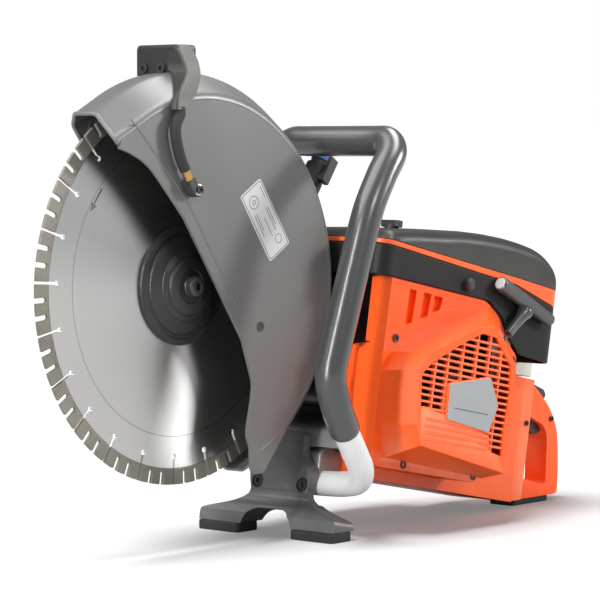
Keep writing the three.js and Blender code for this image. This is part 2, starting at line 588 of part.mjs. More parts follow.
function addCrankcase() {
  const CYLINDER_BORE = 28;
  const SHAFT_BORE = 8;
  const shape = outline([[-CASE.radius, -20, 14], [STAND_BACK, -36, 6], [STAND_BACK, -55], [-62, -55],
    [-34, -CASE.radius, 10], [34, -CASE.radius, 14], [CASE.radius, -20, 14], [44, 30], [36, CASE.top],
    [-36, CASE.top], [-44, 30]]);
  const pocket = join(
    rodX(CASE.pocket, CASE.right + CASE.rightWall, CASE.left - CASE.leftWall, 0, 0, 28),
    rodZ(CYLINDER_BORE, 0, MORE, ENGINE_X, 0, 28));
  const shaft = rodX(SHAFT_BORE, -MORE, MORE, 0, 0, 24);
  const halves = [['crankcase_right', CASE.right, ENGINE_X - GAP / 2],
    ['crankcase_left', ENGINE_X + GAP / 2, CASE.left]];
  halves.forEach(([name, x0, x1]) => add(body, name, 'aluminium',
    cut(extrudeX(shape, x0, x1), pocket, shaft)));
}

function addCylinder() {
  const BASE = CASE.top + GAP;
  const BORE = 28;
  const FIN = { root: 31.5, tip: 36.6, pitch: 13, thickness: 4, count: 5 };
  const CROWN = { inside: 112, top: 130 };
  const profile = [[BASE, BORE], [BASE, FIN.tip], [BASE + FIN.thickness, FIN.tip]];
  for (let i = 1; i < FIN.count; i += 1) {
    const z = BASE + i * FIN.pitch;
    profile.push([z - FIN.pitch + FIN.thickness, FIN.root], [z, FIN.root], [z, FIN.tip],
      [z + FIN.thickness, FIN.tip]);
  }
  profile.push([CROWN.top, FIN.tip - 6], [CROWN.top, 0], [CROWN.inside, 0], [CROWN.inside, BORE],
    [BASE, BORE]);
  const ports = [rodY(11, -60, 0, ENGINE_X, 76, 12), rodY(11, 0, 60, ENGINE_X, 76, 12)];
  add(body, 'cylinder', 'aluminium', cut(turnedZ(profile, 20).translate(ENGINE_X, 0, 0), ...ports));
  add(body, 'spark_plug', 'natural', turnedZ([[CROWN.top + GAP, 0], [CROWN.top + GAP, 9],
    [CROWN.top + 7, 9], [CROWN.top + 7, 6], [CROWN.top + 19, 5], [CROWN.top + 19, 0]], 12)
    .translate(ENGINE_X, 0, 0));
}

function addFlywheelSide() {
  const FLYWHEEL = { inner: 60, disc: 67, fins: 82, radius: 61, hub: 20, bore: 7.9, blades: 10 };
  const bladesOf = () => Array.from({ length: FLYWHEEL.blades }, (unused, i) =>
    box(FLYWHEEL.disc - 1, -1.3, 30, FLYWHEEL.fins, 1.3, FLYWHEEL.radius - 1)
      .rotateX((i * 2 * Math.PI) / FLYWHEEL.blades));
  add(body, 'flywheel', 'aluminium', join(turnedX([[FLYWHEEL.inner, FLYWHEEL.bore],
    [FLYWHEEL.inner, FLYWHEEL.radius], [FLYWHEEL.disc, FLYWHEEL.radius], [FLYWHEEL.disc, FLYWHEEL.hub],
    [FLYWHEEL.fins, FLYWHEEL.hub], [FLYWHEEL.fins, FLYWHEEL.bore], [FLYWHEEL.inner, FLYWHEEL.bore]],
  24), ...bladesOf()));
  add(body, 'starter_pulley', 'black', turnedX([[94, 7], [94, 34], [96, 34], [98, 29], [101, 29],
    [103, 34], [105, 34], [105, 7], [94, 7]], 24));
  add(body, 'recoil_spring', 'steel', ringX(12, 28, 106, 112, 28));
}

function addClutch() {
  const DRUM = { cup: 39, inner: 36.5, left: -30.5, floor: -43.5, right: -66, bore: 7.9 };
  add(driveFrame, 'clutch_drum', 'steel', turnedX([
    [DRUM.floor + 2.5, DRUM.bore], [DRUM.floor + 2.5, DRUM.inner], [DRUM.left, DRUM.inner],
    [DRUM.left, DRUM.cup], [DRUM.floor, DRUM.cup], [DRUM.floor, 20.5], [-48, 20.5],
    [-48, DRUM_PULLEY_RADIUS + 1.5], [-49.5, DRUM_PULLEY_RADIUS], [-64.5, DRUM_PULLEY_RADIUS],
    [DRUM.right, DRUM_PULLEY_RADIUS + 1.5], [DRUM.right, DRUM.bore],
    [DRUM.floor + 2.5, DRUM.bore]], 24));
  const SHOES = 3;
  const shape = new THREE.Shape();
  for (let i = 0; i < SHOES; i += 1) {
    const start = (i * 2 * Math.PI) / SHOES;
    shape.absarc(0, 0, 35, start, start + 1.7, false);
    shape.absarc(0, 0, 19, start + 1.75, start + (2 * Math.PI) / SHOES - 0.05, false);
  }
  shape.closePath();
  shape.holes.push(circle(7.9, 0, 0, new THREE.Path()));
  add(driveFrame, 'clutch_hub', 'darkSteel', extrudeX(shape, -40, -31.5, 6));
}

function addIntakeAndExhaust() {
  const MUFFLER = { x0: -16, x1: 54, y0: -92, y1: -42, z0: -16, z1: 100 };
  const { x0, x1, y0, y1, z0, z1 } = MUFFLER;
  const ribs = Array.from({ length: 6 }, (unused, i) =>
    box(x0 + 6, y0 - 5, z0 + 16 + i * 15, x1 - 6, y0 + 3, z0 + 23 + i * 15));
  add(body, 'muffler', 'black', cut(extrudeX(outline([[y0, z0, 12], [y1 - 10, z0, 10],
    [y1 - 10, 46, 4], [y1, 56, 4], [y1, z1, 10], [y0, z1, 12]]), x0, x1), ...ribs, guardSweep()));
  const carburettorRings = [rodY(20, 44, 60, ENGINE_X, 76, 16), box(-6, 58, 58, 38, 90, 96)];
  add(body, 'carburettor', 'aluminium', cut(join(...carburettorRings),
    rodY(9, 40, 100, ENGINE_X, 76, 16)));
  add(body, 'air_filter', 'paper', extrudeZ(rectangle(-14, 96, 56, 160, 8), 62, 108));
}

// ---------------------------------------------------------------- starter side
const scaled = (points, factor, [cy, cz]) => points.map(([y, z, radius]) =>
  [cy + (y - cy) * factor, cz + (z - cz) * factor, ...(radius ? [radius * factor] : [])]);

const STARTER_OUTLINE = [[-97, 105.5, 3], [-96, 45], [-112, 38], [-112, 2, 8], [-104, -32],
  [-84, -67, 8], [78, -67, 8], [86, -42], [118, 50, 5], [118, 60, 5], [96, 75, 6], [84, 92, 8],
  [60, 105.5, 8]];
const FRONT_CHAMFER = { ridge: -87, run: 25, drop: 25 };   // along the cover's front edge
const FRONT_LIP = { inner: 77, behind: -72, above: -38 };  // the front wall stops short of the engine
const BULGE_BASE = [[-86, 20], [-73.5, 39], [20, 80.6], [67, 101], [80, 92], [86, 80], [92, 60],
  [93, 20], [90, -20], [84, -62], [-66, -58], [-86, -30]];
const BULGE_FACE = [[-76, 24], [-63, 41], [7, 74], [30, 76], [42, 70], [52, 60], [70, 47], [72, 21],
  [68.5, -17], [71, -56], [-62, -44], [-71, -26]];
const BULGE_MIDDLE = [0, 10];
// Opening behind the grille, its lower front corner filled by closed louvres.
const WINDOW = [[-72, 20], [-59, 32], [-16, 56], [12, 69], [35, 68], [47, 57], [62, 45], [65, 21],
  [62, -17], [64, -41], [44, -38], [40, -24], [-30, -12], [-68, -9]];

const PULL = { x: 101, guide: [84, 74], grip: [110, 112], axis: [0.683, 0.73], barAxis: [87, -23],
  rope: 2 };

// Bridge across the window that holds the recoil post.
const CARRIER = { y0: -30, z0: -24, y1: 12, z1: 7 };

function addStarterCover() {
  const WALL = 3;
  const atX = (points, x) => points.map(([y, z]) => [x, y, z]);
  const bulge = (scale, x0, x1) => loft([
    atX(scaled(BULGE_BASE, scale, BULGE_MIDDLE), x0),
    atX(scaled(BULGE_FACE, scale, BULGE_MIDDLE), x1)], BULGE_BASE);
  const { ridge, run, drop } = FRONT_CHAMFER;
  const frontEdge = extrudeZ(outline([[STARTER_FACE + 1, ridge + run / drop],
    [STARTER_FACE + 1, ridge - run], [STARTER_FACE - drop, ridge - run]]), -MORE, MORE);
  const frontGap = box(STARTER_INNER - 5, -MORE, FRONT_LIP.above,
    FRONT_LIP.inner, FRONT_LIP.behind, MORE);
  const outside = join(
    cut(extrudeX(outline(STARTER_OUTLINE), STARTER_INNER, STARTER_FACE), frontEdge, frontGap),
    bulge(1, STARTER_FACE - 4, STARTER_BULGE));
  const inside = join(
    extrudeX(outline(scaled(STARTER_OUTLINE, 0.962, [0, 15])), STARTER_INNER - 5, STARTER_FACE - WALL),
    bulge(0.95, STARTER_FACE - 8, STARTER_BULGE - WALL));
  const slots = [[-60, 66, -50, 69], [-39, 73, -28, 77], [-23, 80, -12, 84]].map(([y0, z0, y1, z1]) =>
    extrudeX(outline([[y0, z0], [y1, z1], [y1 + 2, 99], [y0 + 2, 99]]), STARTER_FACE - 10,
      STARTER_FACE + 5));
  const post = rodX(6.4, 93, STARTER_BULGE - 2, 0, 0, 16);
  const shell = cut(outside, inside, ...slots,
    extrudeX(outline(WINDOW), STARTER_BULGE - 8, STARTER_BULGE + 5));
  const { y0, z0, y1, z1 } = CARRIER;
  const carrier = box(STARTER_BULGE - WALL - 0.5, y0, z0, STARTER_BULGE - 0.5, y1, z1);
  const ropeHole = tubeAlong([-30, -15, 0, 15].map(onPull), PULL.rope + 1, 12, 3);
  add(body, 'starter_cover', 'orange', cut(join(shell, carrier, post), ropeHole));
}

function addGrille() {
  // Clears the cover where its closed louvres turn the window's lower corner.
  const LOUVRE_CORNER = [[30, -60], [44.6, -60], [44.6, -38], [40.5, -23.5], [30, -21.5]];
  const BAR = { lowest: -34, pitch: 5.9, height: 1.8, count: 17 };
  const X = [STARTER_BULGE - 2.4, STARTER_BULGE - GAP];
  const middle = [0, 24];
  const outer = scaled(WINDOW, 0.99, middle);
  const opening = scaled(WINDOW, 0.94, middle);
  const bars = Array.from({ length: BAR.count }, (unused, i) => {
    const z = BAR.lowest + i * BAR.pitch;
    return box(X[0], -90, z, X[1], 90, z + BAR.height);
  });
  const posts = [-34, 8, 46].map((y) => box(X[0], y, -60, X[1], y + BAR.height, 90));
  const lattice = common(join(bars[0], ...bars.slice(1), ...posts),
    extrudeX(outline(scaled(WINDOW, 0.97, middle)), X[0] - 1, X[1] + 1));
  const ring = cut(extrudeX(outline(outer), X[0], X[1]),
    extrudeX(outline(opening), X[0] - 1, X[1] + 1));
  const { y0, z0, y1, z1 } = CARRIER;
  const carrierClear = box(X[0] - 1, y0 - 0.4, z0, X[1] + 1, y1 + 0.4, z1 + 0.4);
  const louvreCorner = extrudeX(outline(LOUVRE_CORNER), X[0] - 1, X[1] + 1);
  add(body, 'air_grille', 'orange', cut(join(ring, lattice), carrierClear, louvreCorner));
}

function addPullHandle() {
  const HALF_LENGTH = 46;
  const STEM = { top: 5.4, bottom: 4.4, from: 5, length: 38 };
  const along = new THREE.Vector3(0, ...PULL.barAxis).normalize();
  const gripMatrix = new THREE.Matrix4().makeBasis(new THREE.Vector3(1, 0, 0), along,
    new THREE.Vector3(1, 0, 0).cross(along)).setPosition(PULL.x, ...PULL.grip);
  const grip = turned([[-HALF_LENGTH, 0], [-HALF_LENGTH, 5.6], [2 - HALF_LENGTH, 7], [0, 7],
    [HALF_LENGTH - 2, 6], [HALF_LENGTH, 4.6], [HALF_LENGTH, 0]], 14).applyMatrix4(gripMatrix);
  const stemAxis = new THREE.Vector3(0, ...PULL.axis);
  const stem = new THREE.CylinderGeometry(STEM.top, STEM.bottom, STEM.length, 12)
    .applyQuaternion(new THREE.Quaternion().setFromUnitVectors(new THREE.Vector3(0, 1, 0), stemAxis))
    .translate(...onPull(STEM.from + STEM.length / 2));
  add(body, 'pull_handle', 'grip', join(grip, stem));
}

// Point on the line along which the starter rope leaves the cover.
const onPull = (t) => [PULL.x, PULL.guide[0] + t * PULL.axis[0], PULL.guide[1] + t * PULL.axis[1]];

function addStarterRope() {
  add(body, 'starter_rope', 'black',
    tubeAlong([-9, -4, 0, 4.5].map(onPull), PULL.rope, 8, 4));
}

// ---------------------------------------------------------------- covers
const SEAM = { front: 139, rear: 132, bandFront: 135, bandRear: 114 };
const COVER_TOP = [[COVER_FRONT, 142], [-98, 147, 5], [-60, 153], [12, 164], [85, 171, 20],
  [140, 168, 14], [166, 152, 10], [COVER_REAR, 133]];
const planOutline = (inset) => rectangle(COVER_RIGHT + inset, COVER_FRONT + inset,
  COVER_LEFT - inset, COVER_REAR - inset, 16 - inset);
// Seam lines in side view, from the front edge to the rear edge.
const upperSeam = [[COVER_FRONT, SEAM.front], [100, 134.5], [COVER_REAR, SEAM.rear]];
const lowerSeam = [[COVER_FRONT, SEAM.bandFront], [100, 128], [COVER_REAR, SEAM.bandRear]];
const shifted = (line, dz) => line.map(([y, z]) => [y, z + dz]);
const past = (line) => [[line[0][0] - 20, line[0][1]], ...line, [line.at(-1)[0] + 20, line.at(-1)[1]]];

function sideSlice(low, high) {
  return extrudeX(outline([...past(low), ...past(high).reverse()]), COVER_RIGHT - 20, COVER_LEFT + 20);
}

function addCovers() {
  const plan = extrudeZ(planOutline(0), -MORE, 2 * MORE, 6);
  const planInside = extrudeZ(planOutline(COVER_WALL), -2 * MORE, 3 * MORE, 6);
  const ceiling = shifted(COVER_TOP, -COVER_WALL);
  const outside = common(plan, sideSlice(shifted(upperSeam, GAP), COVER_TOP));
  const inside = common(planInside, sideSlice(shifted(upperSeam, -20), ceiling));
  const knobSeat = rodZ(7, 130, 175, 62, -60, 16);
  add(body, 'top_cover', 'cover', cut(outside, inside, knobSeat, guardSweep()));
  add(body, 'cover_band', 'orange', cut(common(plan, sideSlice(lowerSeam, upperSeam)), planInside,
    guardSweep()));
  const SKIRT = { front: 106, sideEnd: 66, rear: 62 };
  const skirtLow = [[COVER_FRONT, SKIRT.front], [62, SKIRT.front], [86, 93], [98, 76.5],
    [120, SKIRT.rear], [COVER_REAR, SKIRT.rear - 2]];
  const skirt = cut(common(plan, sideSlice(skirtLow, shifted(lowerSeam, -GAP))), planInside);
  const armClear = box(COVER_RIGHT - 5, -60, 90, COVER_RIGHT + 1, 40, 108);
  add(body, 'side_cover', 'cover', cut(skirt, armClear, guardSweep(),
    rodX(6.5, COVER_LEFT - 8, COVER_LEFT + 8, 24, 116, 16),
    rodY(5.5, COVER_REAR - 8, COVER_REAR + 8, 66, 96, 12)));
}

function addCoverControls() {
  const KNOB = { x: 62, y: -60, shaft: 6.6, head: 11 };
  add(body, 'cover_knob', 'black', join(
    rodZ(KNOB.shaft, 143, 158, KNOB.x, KNOB.y, 16),
    extrudeZ(rectangle(KNOB.x - KNOB.head, KNOB.y - 4.5, KNOB.x + KNOB.head, KNOB.y + 4.5, 4), 156, 162)));
  add(body, 'decompression_valve', 'black', turnedX([[82, 0], [82, 4], [90, 4], [90, 6.1],
    [98.5, 6.1], [100, 4.5], [100, 0]], 16).translate(0, 24, 116));
  add(body, 'choke_lever', 'blue', join(rodY(4.8, COVER_REAR - 12, COVER_REAR + 8, 66, 96, 12),
    box(58, COVER_REAR + 7, 92, 74, COVER_REAR + 12, 100)));
}

// ---------------------------------------------------------------- tank and rear handle
const TANK = { left: 56, right: -20, front: -58, rear: 186, floor: -78 };

function addTank() {
  const side = outline([[TANK.front, TANK.floor, 6], [TANK.rear, TANK.floor], [TANK.rear, 46, 5],
    [150, 46, 8], [128, 34, 8], [90, 34, 12], [88, -54, 8], [TANK.front, -56, 6]]);
  const CAP = { radius: 19, y: 138, z: -18, depth: 12 };
  const SWITCH = { x0: -8, x1: 8, y0: 153, y1: 168, travel: 7, floor: 42.5 };
  const handleTube = tubeAlong(HANDLE_PATH, TUBE_RADIUS + GAP, HANDLE_SIDES, HANDLE_STEPS)
    .translate(0, HANDLE_BACK - CRANK_BACK, -CRANK_HEIGHT).rotateX(PITCH);
  const saddle = box(8, -88, -86, 34, TANK.front + 2, -60);
  const sideLug = box(-56, 82, -48, TANK.right + 2, 104, -24);
  add(body, 'tank_housing', 'orange', cut(
    join(extrudeX(side, TANK.right, TANK.left), saddle, sideLug), handleTube,
    rodX(CAP.radius + GAP, TANK.right - 5, TANK.right + CAP.depth, CAP.y, CAP.z, 24),
    box(SWITCH.x0 - 1, SWITCH.y0 - 1, SWITCH.floor, SWITCH.x1 + 1, SWITCH.y1 + SWITCH.travel + 1, 60)));
  add(body, 'fuel_cap', 'black', join(
    rodX(CAP.radius, TANK.right - 7, TANK.right + CAP.depth - 1, CAP.y, CAP.z, 24),
    box(TANK.right - 12, CAP.y - 16, CAP.z - 3, TANK.right - 6, CAP.y + 16, CAP.z + 3)));
  add(body, 'stop_switch', 'grip', join(
    box(SWITCH.x0, SWITCH.y0, SWITCH.floor + GAP, SWITCH.x1, SWITCH.y1, 46),
    extrudeX(outline([[SWITCH.y0 + 3, 45], [SWITCH.y1 - 3, 45], [SWITCH.y1 - 5, 52, 2],
      [SWITCH.y0 + 5, 52, 2]]), SWITCH.x0 + 2, SWITCH.x1 - 2)));
  add(body, 'av_mount_rear', 'natural', extrudeX(outline([[160, 46.6], [204, 48.8], [204, 68, 4],
    [184, 68, 4], [180, 59], [160, 59]]), 28, 50));
}

// Points given along and across a slanted line in side view, as side-view points.
function alongLine([y0, z0], [y1, z1], points) {
  const length = Math.hypot(y1 - y0, z1 - z0);
  const [uy, uz] = [(y1 - y0) / length, (z1 - z0) / length];
  return points.map(([s, t, radius]) => [y0 + s * uy - t * uz, z0 + s * uz + t * uy,
    ...(radius ? [radius] : [])]);
}

// The finger controls: each lies along the slanted grip and turns at its front end.
const TRIGGER = { from: [214, 9], to: [243, 1] };
const LOCKOUT = { from: [212, 41], to: [240, 26.5] };
const CONTROL_X = [29, 41];

function addRearHandle() {
  const START = TANK.rear + GAP;
  const SOLE = { thickness: 6, y0: 440, y1: 502 };
  const ROOT = [16, 54];                            // wide foot of the loop, side to side
  const loop = outline([[START, TANK.floor], [262, -76, 6], [275, -66, 9], [271, -30, 16],
    [262, 4, 13], [244, 24, 11], [212, 43, 8], [START, 46]]);
  loop.holes.push(outline([[206, -52, 6], [253, -56, 8], [246, -5, 6], [238, 4, 5], [212, 10, 3],
    [206, 6, 3]], new THREE.Path()));
  const root = extrudeX(outline([[START, TANK.floor], [205.5, -78], [205.5, 46], [START, 46]]),
    ROOT[0], ROOT[1]);
  const rail = extrudeX(outline([[START, TANK.floor], [262, -76, 6], [270, -62, 6], [206, -56],
    [START, -56]]), ROOT[0] + 2, ROOT[1] - 2);
  const slotX = [CONTROL_X[0] - 0.6, CONTROL_X[1] + 0.6];
  const triggerSlot = extrudeX(outline(alongLine(TRIGGER.from, TRIGGER.to,
    [[-5, -6], [31, -6], [31, 9.5], [-5, 9.5]])), ...slotX);
  const lockoutSlot = extrudeX(outline(alongLine(LOCKOUT.from, LOCKOUT.to,
    [[-4, -11], [39, -11], [39, 24], [-4, 24]])), ...slotX);
  const ground = box(-MORE, -MORE, -MORE, MORE, 3 * MORE, SOLE.thickness + GAP)
    .translate(0, -CRANK_BACK, -CRANK_HEIGHT).rotateX(PITCH);
  add(body, 'rear_handle', 'orange',
    cut(join(extrudeX(loop, HANDLE_RIGHT, HANDLE_LEFT), root, rail), triggerSlot, lockoutSlot, ground));
  add(body, 'throttle_trigger', 'black', extrudeX(outline(alongLine(TRIGGER.from, TRIGGER.to,
    [[-3, -2, 1], [8, -7], [20, -11, 3], [28, -6, 2], [28, 1], [5, 6.5, 2], [-3, 6.5, 2]])),
  ...CONTROL_X));
  add(body, 'throttle_lockout', 'black', extrudeX(outline(alongLine(LOCKOUT.from, LOCKOUT.to,
    [[-2, -8, 1], [9, -8], [31, -2, 2], [33, 10, 3], [27, 13, 3], [8, 7, 3], [-2, 1, 1]])),
  ...CONTROL_X));
  add(machine, 'rear_foot', 'rubber', extrudeZ(
    rectangle(ROOT[0] + BODY_X + 4, SOLE.y0, ROOT[1] + BODY_X - 4, SOLE.y1, 5),
    0, SOLE.thickness));
}

// ---------------------------------------------------------------- water supply
const VALVE = { x: -10, y: 194, z: 327, radius: 11, lean: 35 * RAD };
const SUPPLY_HOSE = [[-10, 183, 309], [-14, 176, 298], [-25, 160, 284], [-33, 132, 270],
  [-37, 100, 268], [-38, 64, 284], [-36, 32, 325], [-34, 12, 372], [-28, 0, 400], [-26, -4, 413]];

function addWaterSupply() {
  const lean = (geometry) => geometry.rotateX(-VALVE.lean).translate(VALVE.x, VALVE.y, VALVE.z);
  const arm = rodX(6, -46, VALVE.x, VALVE.y + 4, VALVE.z + 2, 12);
  const valve = lean(turnedZ([[-19, 0], [-19, 6], [-12, 6], [-12, VALVE.radius],
    [14, VALVE.radius], [14, 8], [19, 8], [19, 0]], 16));
  const leverHole = lean(rodX(5.3, 4, 20, 0, 1, 12));
  add(handleFrame, 'water_valve', 'black', cut(join(valve, arm), leverHole,
    sleevePath(SLEEVE_RADIUS + GAP, 0)));
  add(handleFrame, 'water_valve_lever', 'black', lean(join(rodX(5, 4.3, 15, 0, 1, 12),
    box(13, -5, -4, 18, 5, 22))));
  add(handleFrame, 'water_connector', 'blue', lean(turnedZ([[19.3, 0], [19.3, 9], [24, 9], [24, 6.5],
    [30, 6.5], [30, 8], [34, 8], [34, 0]], 16)));
  add(handleFrame, 'supply_hose', 'rubber', tubeAlong(SUPPLY_HOSE, 5, 8, 26));
}

// ---------------------------------------------------------------- assembly
addBladeGroup();
addArm();
addGuard();
addFrontHandle();
addStand();
addCrankTrain();
addCrankcase();
addCylinder();
addFlywheelSide();
addClutch();
addIntakeAndExhaust();
addStarterCover();
addGrille();
addPullHandle();
addStarterRope();
addCovers();
addCoverControls();
addTank();
addRearHandle();
addWaterSupply();

// The footprint's middle on the ground is the origin.
const size = new THREE.Box3().setFromObject(product, true);
machine.position.set(-(size.min.x + size.max.x) / 2, -(size.min.y + size.max.y) / 2, -size.min.z);

export default product;
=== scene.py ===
"""Looks of the petrol cut-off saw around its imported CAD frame. Metres, +Z up, -Y towards the blade.

Local sizes below are millimetres in one of five places, each with its matrix: AT_BLADE on the wheel's
axis (the guard too), AT_GROUND under it, AT_BODY on the tilted crankshaft, AT_HANDLE for the front
handle and hoses, and AT_STAND for the stand's bolts.
"""
import math

import bmesh
import bpy
from mathutils import Matrix, Vector, geometry


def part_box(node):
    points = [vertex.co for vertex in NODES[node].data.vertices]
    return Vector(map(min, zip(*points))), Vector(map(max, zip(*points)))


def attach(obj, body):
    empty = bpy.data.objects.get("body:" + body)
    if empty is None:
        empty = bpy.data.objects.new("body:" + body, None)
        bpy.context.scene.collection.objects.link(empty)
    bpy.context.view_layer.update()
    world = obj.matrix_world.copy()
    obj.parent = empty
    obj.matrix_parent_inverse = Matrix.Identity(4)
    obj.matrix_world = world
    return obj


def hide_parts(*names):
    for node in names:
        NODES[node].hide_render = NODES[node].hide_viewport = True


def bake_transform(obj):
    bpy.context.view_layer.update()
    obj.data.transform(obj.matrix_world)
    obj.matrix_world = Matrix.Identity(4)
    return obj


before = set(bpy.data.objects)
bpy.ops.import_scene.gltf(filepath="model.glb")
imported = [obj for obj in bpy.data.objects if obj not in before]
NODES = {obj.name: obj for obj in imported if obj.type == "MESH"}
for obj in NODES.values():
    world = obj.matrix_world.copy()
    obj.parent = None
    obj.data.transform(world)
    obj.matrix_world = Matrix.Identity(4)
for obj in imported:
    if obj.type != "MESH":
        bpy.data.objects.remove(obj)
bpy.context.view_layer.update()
MM = 0.001
RAD = math.pi / 180

# ---- places
low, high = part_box("diamond_blade")
BLADE_CENTRE = (low + high) / 2
GROUND = Vector((BLADE_CENTRE.x, BLADE_CENTRE.y, 0))
SCALE = Matrix.Scale(MM, 4)
LEAN = Matrix.Rotation(-11 * RAD, 4, "X")
AT_BLADE = Matrix.Translation(BLADE_CENTRE) @ SCALE
AT_GROUND = Matrix.Translation(GROUND) @ SCALE
AT_BODY = AT_GROUND @ Matrix.Translation((-8, 261, 118)) @ LEAN
AT_HANDLE = AT_GROUND @ Matrix.Translation((-8, 9, 0))
AT_STAND = AT_GROUND @ Matrix.Translation((-7, 121, 0)) @ LEAN

# ---- camera, light and floor
AZIMUTH, PITCH, LENS, SENSOR = 40.5 * RAD, 3.2 * RAD, 167.3, 36
CAMERA_PLACE = (1670.4, -1791.5, 359.3)
FLOOR_HALF, FLOOR_GREY, FLOOR_GLOW = 30, 0.4, 0.2
SKY_COLOR, SKY_FILL = (0.95, 0.98, 1, 1), 0.24
LIT_POINT = Vector((0, 0, 0.2))
AREA_LIGHTS = {  # place in metres, width and height, watts
    "key": ((-1.3, -2.2, 2.0), (1.0, 1.3), 20),
    "strip": ((0.45, -2.45, 0.95), (0.14, 1.9), 48),
    "side": ((2.3, -0.45, 1.9), (0.5, 0.5), 14),
    "rear": ((2.1, 2.4, 1.3), (0.5, 0.5), 55),
    "top": ((0.3, 0.9, 2.2), (2.2, 0.8), 44),
}
SKY_SUN = {"strength": 2.0, "spread": 50, "direction": (0.35, 0.45, -1)}
FLOOR_SUN = {"strength": 7.0, "spread": 30, "direction": (0.03, 0.40, -1)}


def add_object(name, data):
    obj = bpy.data.objects.new(name, data)
    bpy.context.collection.objects.link(obj)
    return obj


def aim(obj, direction):
    obj.rotation_euler = Vector(direction).to_track_quat("-Z", "Y").to_euler()


def add_camera():
    data = bpy.data.cameras.new("camera")
    data.lens, data.sensor_width = LENS, SENSOR
    data.clip_start, data.clip_end = 0.05, 50
    camera = add_object("camera", data)
    camera.location = AT_GROUND @ Vector(CAMERA_PLACE)
    aim(camera, (-math.sin(AZIMUTH) * math.cos(PITCH), math.cos(AZIMUTH) * math.cos(PITCH),
                 -math.sin(PITCH)))
    bpy.context.scene.camera = camera


def add_area(name, where, size, power):
    data = bpy.data.lights.new(name, "AREA")
    data.shape, data.size, data.size_y = "RECTANGLE", *size
    data.energy = power
    light = add_object(name, data)
    light.location = where
    aim(light, LIT_POINT - Vector(where))
    return light


def add_sun(name, strength, spread, direction):
    data = bpy.data.lights.new(name, "SUN")
    data.energy, data.angle = strength, spread * RAD
    sun = add_object(name, data)
    aim(sun, direction)
    return sun


def link(tree, source, target):
    tree.links.new(source, target)


def node(tree, kind, inputs=None, **settings):
    """Shader node of this kind with its settings and unlinked inputs filled in."""
    made = tree.nodes.new("ShaderNode" + kind)
    for name, value in settings.items():
        setattr(made, name, value)
    for name, value in (inputs or {}).items():
        made.inputs[name].default_value = value
    return made


def start_material(name, inputs):
    material = bpy.data.materials.new(name)
    material.use_nodes = True
    shader = material.node_tree.nodes["Principled BSDF"]
    for key, value in inputs.items():
        shader.inputs[key].default_value = value
    return material, material.node_tree, shader


def add_world():
    """White behind the machine, and a dimmer sky that lights it."""
    world = bpy.data.worlds.new("studio")
    bpy.context.scene.world = world
    world.use_nodes = True
    tree = world.node_tree
    seen = tree.nodes["Background"]
    seen.inputs["Color"].default_value = (1, 1, 1, 1)
    fill = node(tree, "Background", {"Color": SKY_COLOR, "Strength": SKY_FILL})
    path, mix = node(tree, "LightPath"), node(tree, "MixShader")
    link(tree, path.outputs["Is Camera Ray"], mix.inputs[0])
    link(tree, fill.outputs[0], mix.inputs[1])
    link(tree, seen.outputs[0], mix.inputs[2])
    link(tree, mix.outputs[0], tree.nodes["World Output"].inputs["Surface"])


def add_floor():
    """Pale floor with a faint glow that lights nothing else."""
    half = FLOOR_HALF
    mesh = bpy.data.meshes.new("floor")
    mesh.from_pydata([(-half, -half, 0), (half, -half, 0), (half, half, 0), (-half, half, 0)], [],
                     [(0, 1, 2, 3)])
    floor = add_object("floor", mesh)
    material, tree, shader = start_material("floor_paint", {
        "Base Color": (FLOOR_GREY, FLOOR_GREY, FLOOR_GREY, 1), "Roughness": 0.9,
        "Specular IOR Level": 0.05, "Emission Color": (1, 1, 1, 1)})
    seen = node(tree, "LightPath")
    glow = node(tree, "MapRange", {"To Min": 0.0, "To Max": FLOOR_GLOW})
    link(tree, seen.outputs["Is Camera Ray"], glow.inputs["Value"])
    link(tree, glow.outputs["Result"], shader.inputs["Emission Strength"])
    mesh.materials.append(material)
    return floor


def add_lights(floor):
    """Studio lights on the machine alone, and a sun on the floor alone for its soft shadow."""
    all_but_floor = bpy.data.collections.new("all_but_floor")
    all_but_floor.objects.link(floor)
    all_but_floor.collection_objects[0].light_linking.link_state = "EXCLUDE"
    floor_only = bpy.data.collections.new("floor_only")
    floor_only.objects.link(floor)
    on_machine = [add_sun("sky_glow", **SKY_SUN)]
    on_machine += [add_area(name, *light) for name, light in AREA_LIGHTS.items()]
    for light in on_machine:
        light.light_linking.receiver_collection = all_but_floor
    add_sun("floor_sun", **FLOOR_SUN).light_linking.receiver_collection = floor_only


# ---- materials
def two_tones(tree, amount, dark, light, start, end):
    """Colour that runs from dark to light between two values of amount."""
    ramp = node(tree, "ValToRGB")
    for stop, position, color in zip(ramp.color_ramp.elements, (start, end), (dark, light)):
        stop.position, stop.color = position, (*color, 1)
    link(tree, amount, ramp.inputs["Fac"])
    return ramp.outputs["Color"]


def mixed(tree, amount, base, color):
    """base, painted over with an even colour by amount."""
    mix = node(tree, "Mix", data_type="RGBA")
    mix.inputs["B"].default_value = (*color, 1)
    link(tree, amount, mix.inputs["Factor"])
    link(tree, base, mix.inputs["A"])
    return mix.outputs["Result"]


def scaled(tree, value, factor):
    """value times a number or another socket."""
    product = node(tree, "Math", operation="MULTIPLY")
    link(tree, value, product.inputs[0])
    if isinstance(factor, float):
        product.inputs[1].default_value = factor
    else:
        link(tree, factor, product.inputs[1])
    return product.outputs[0]


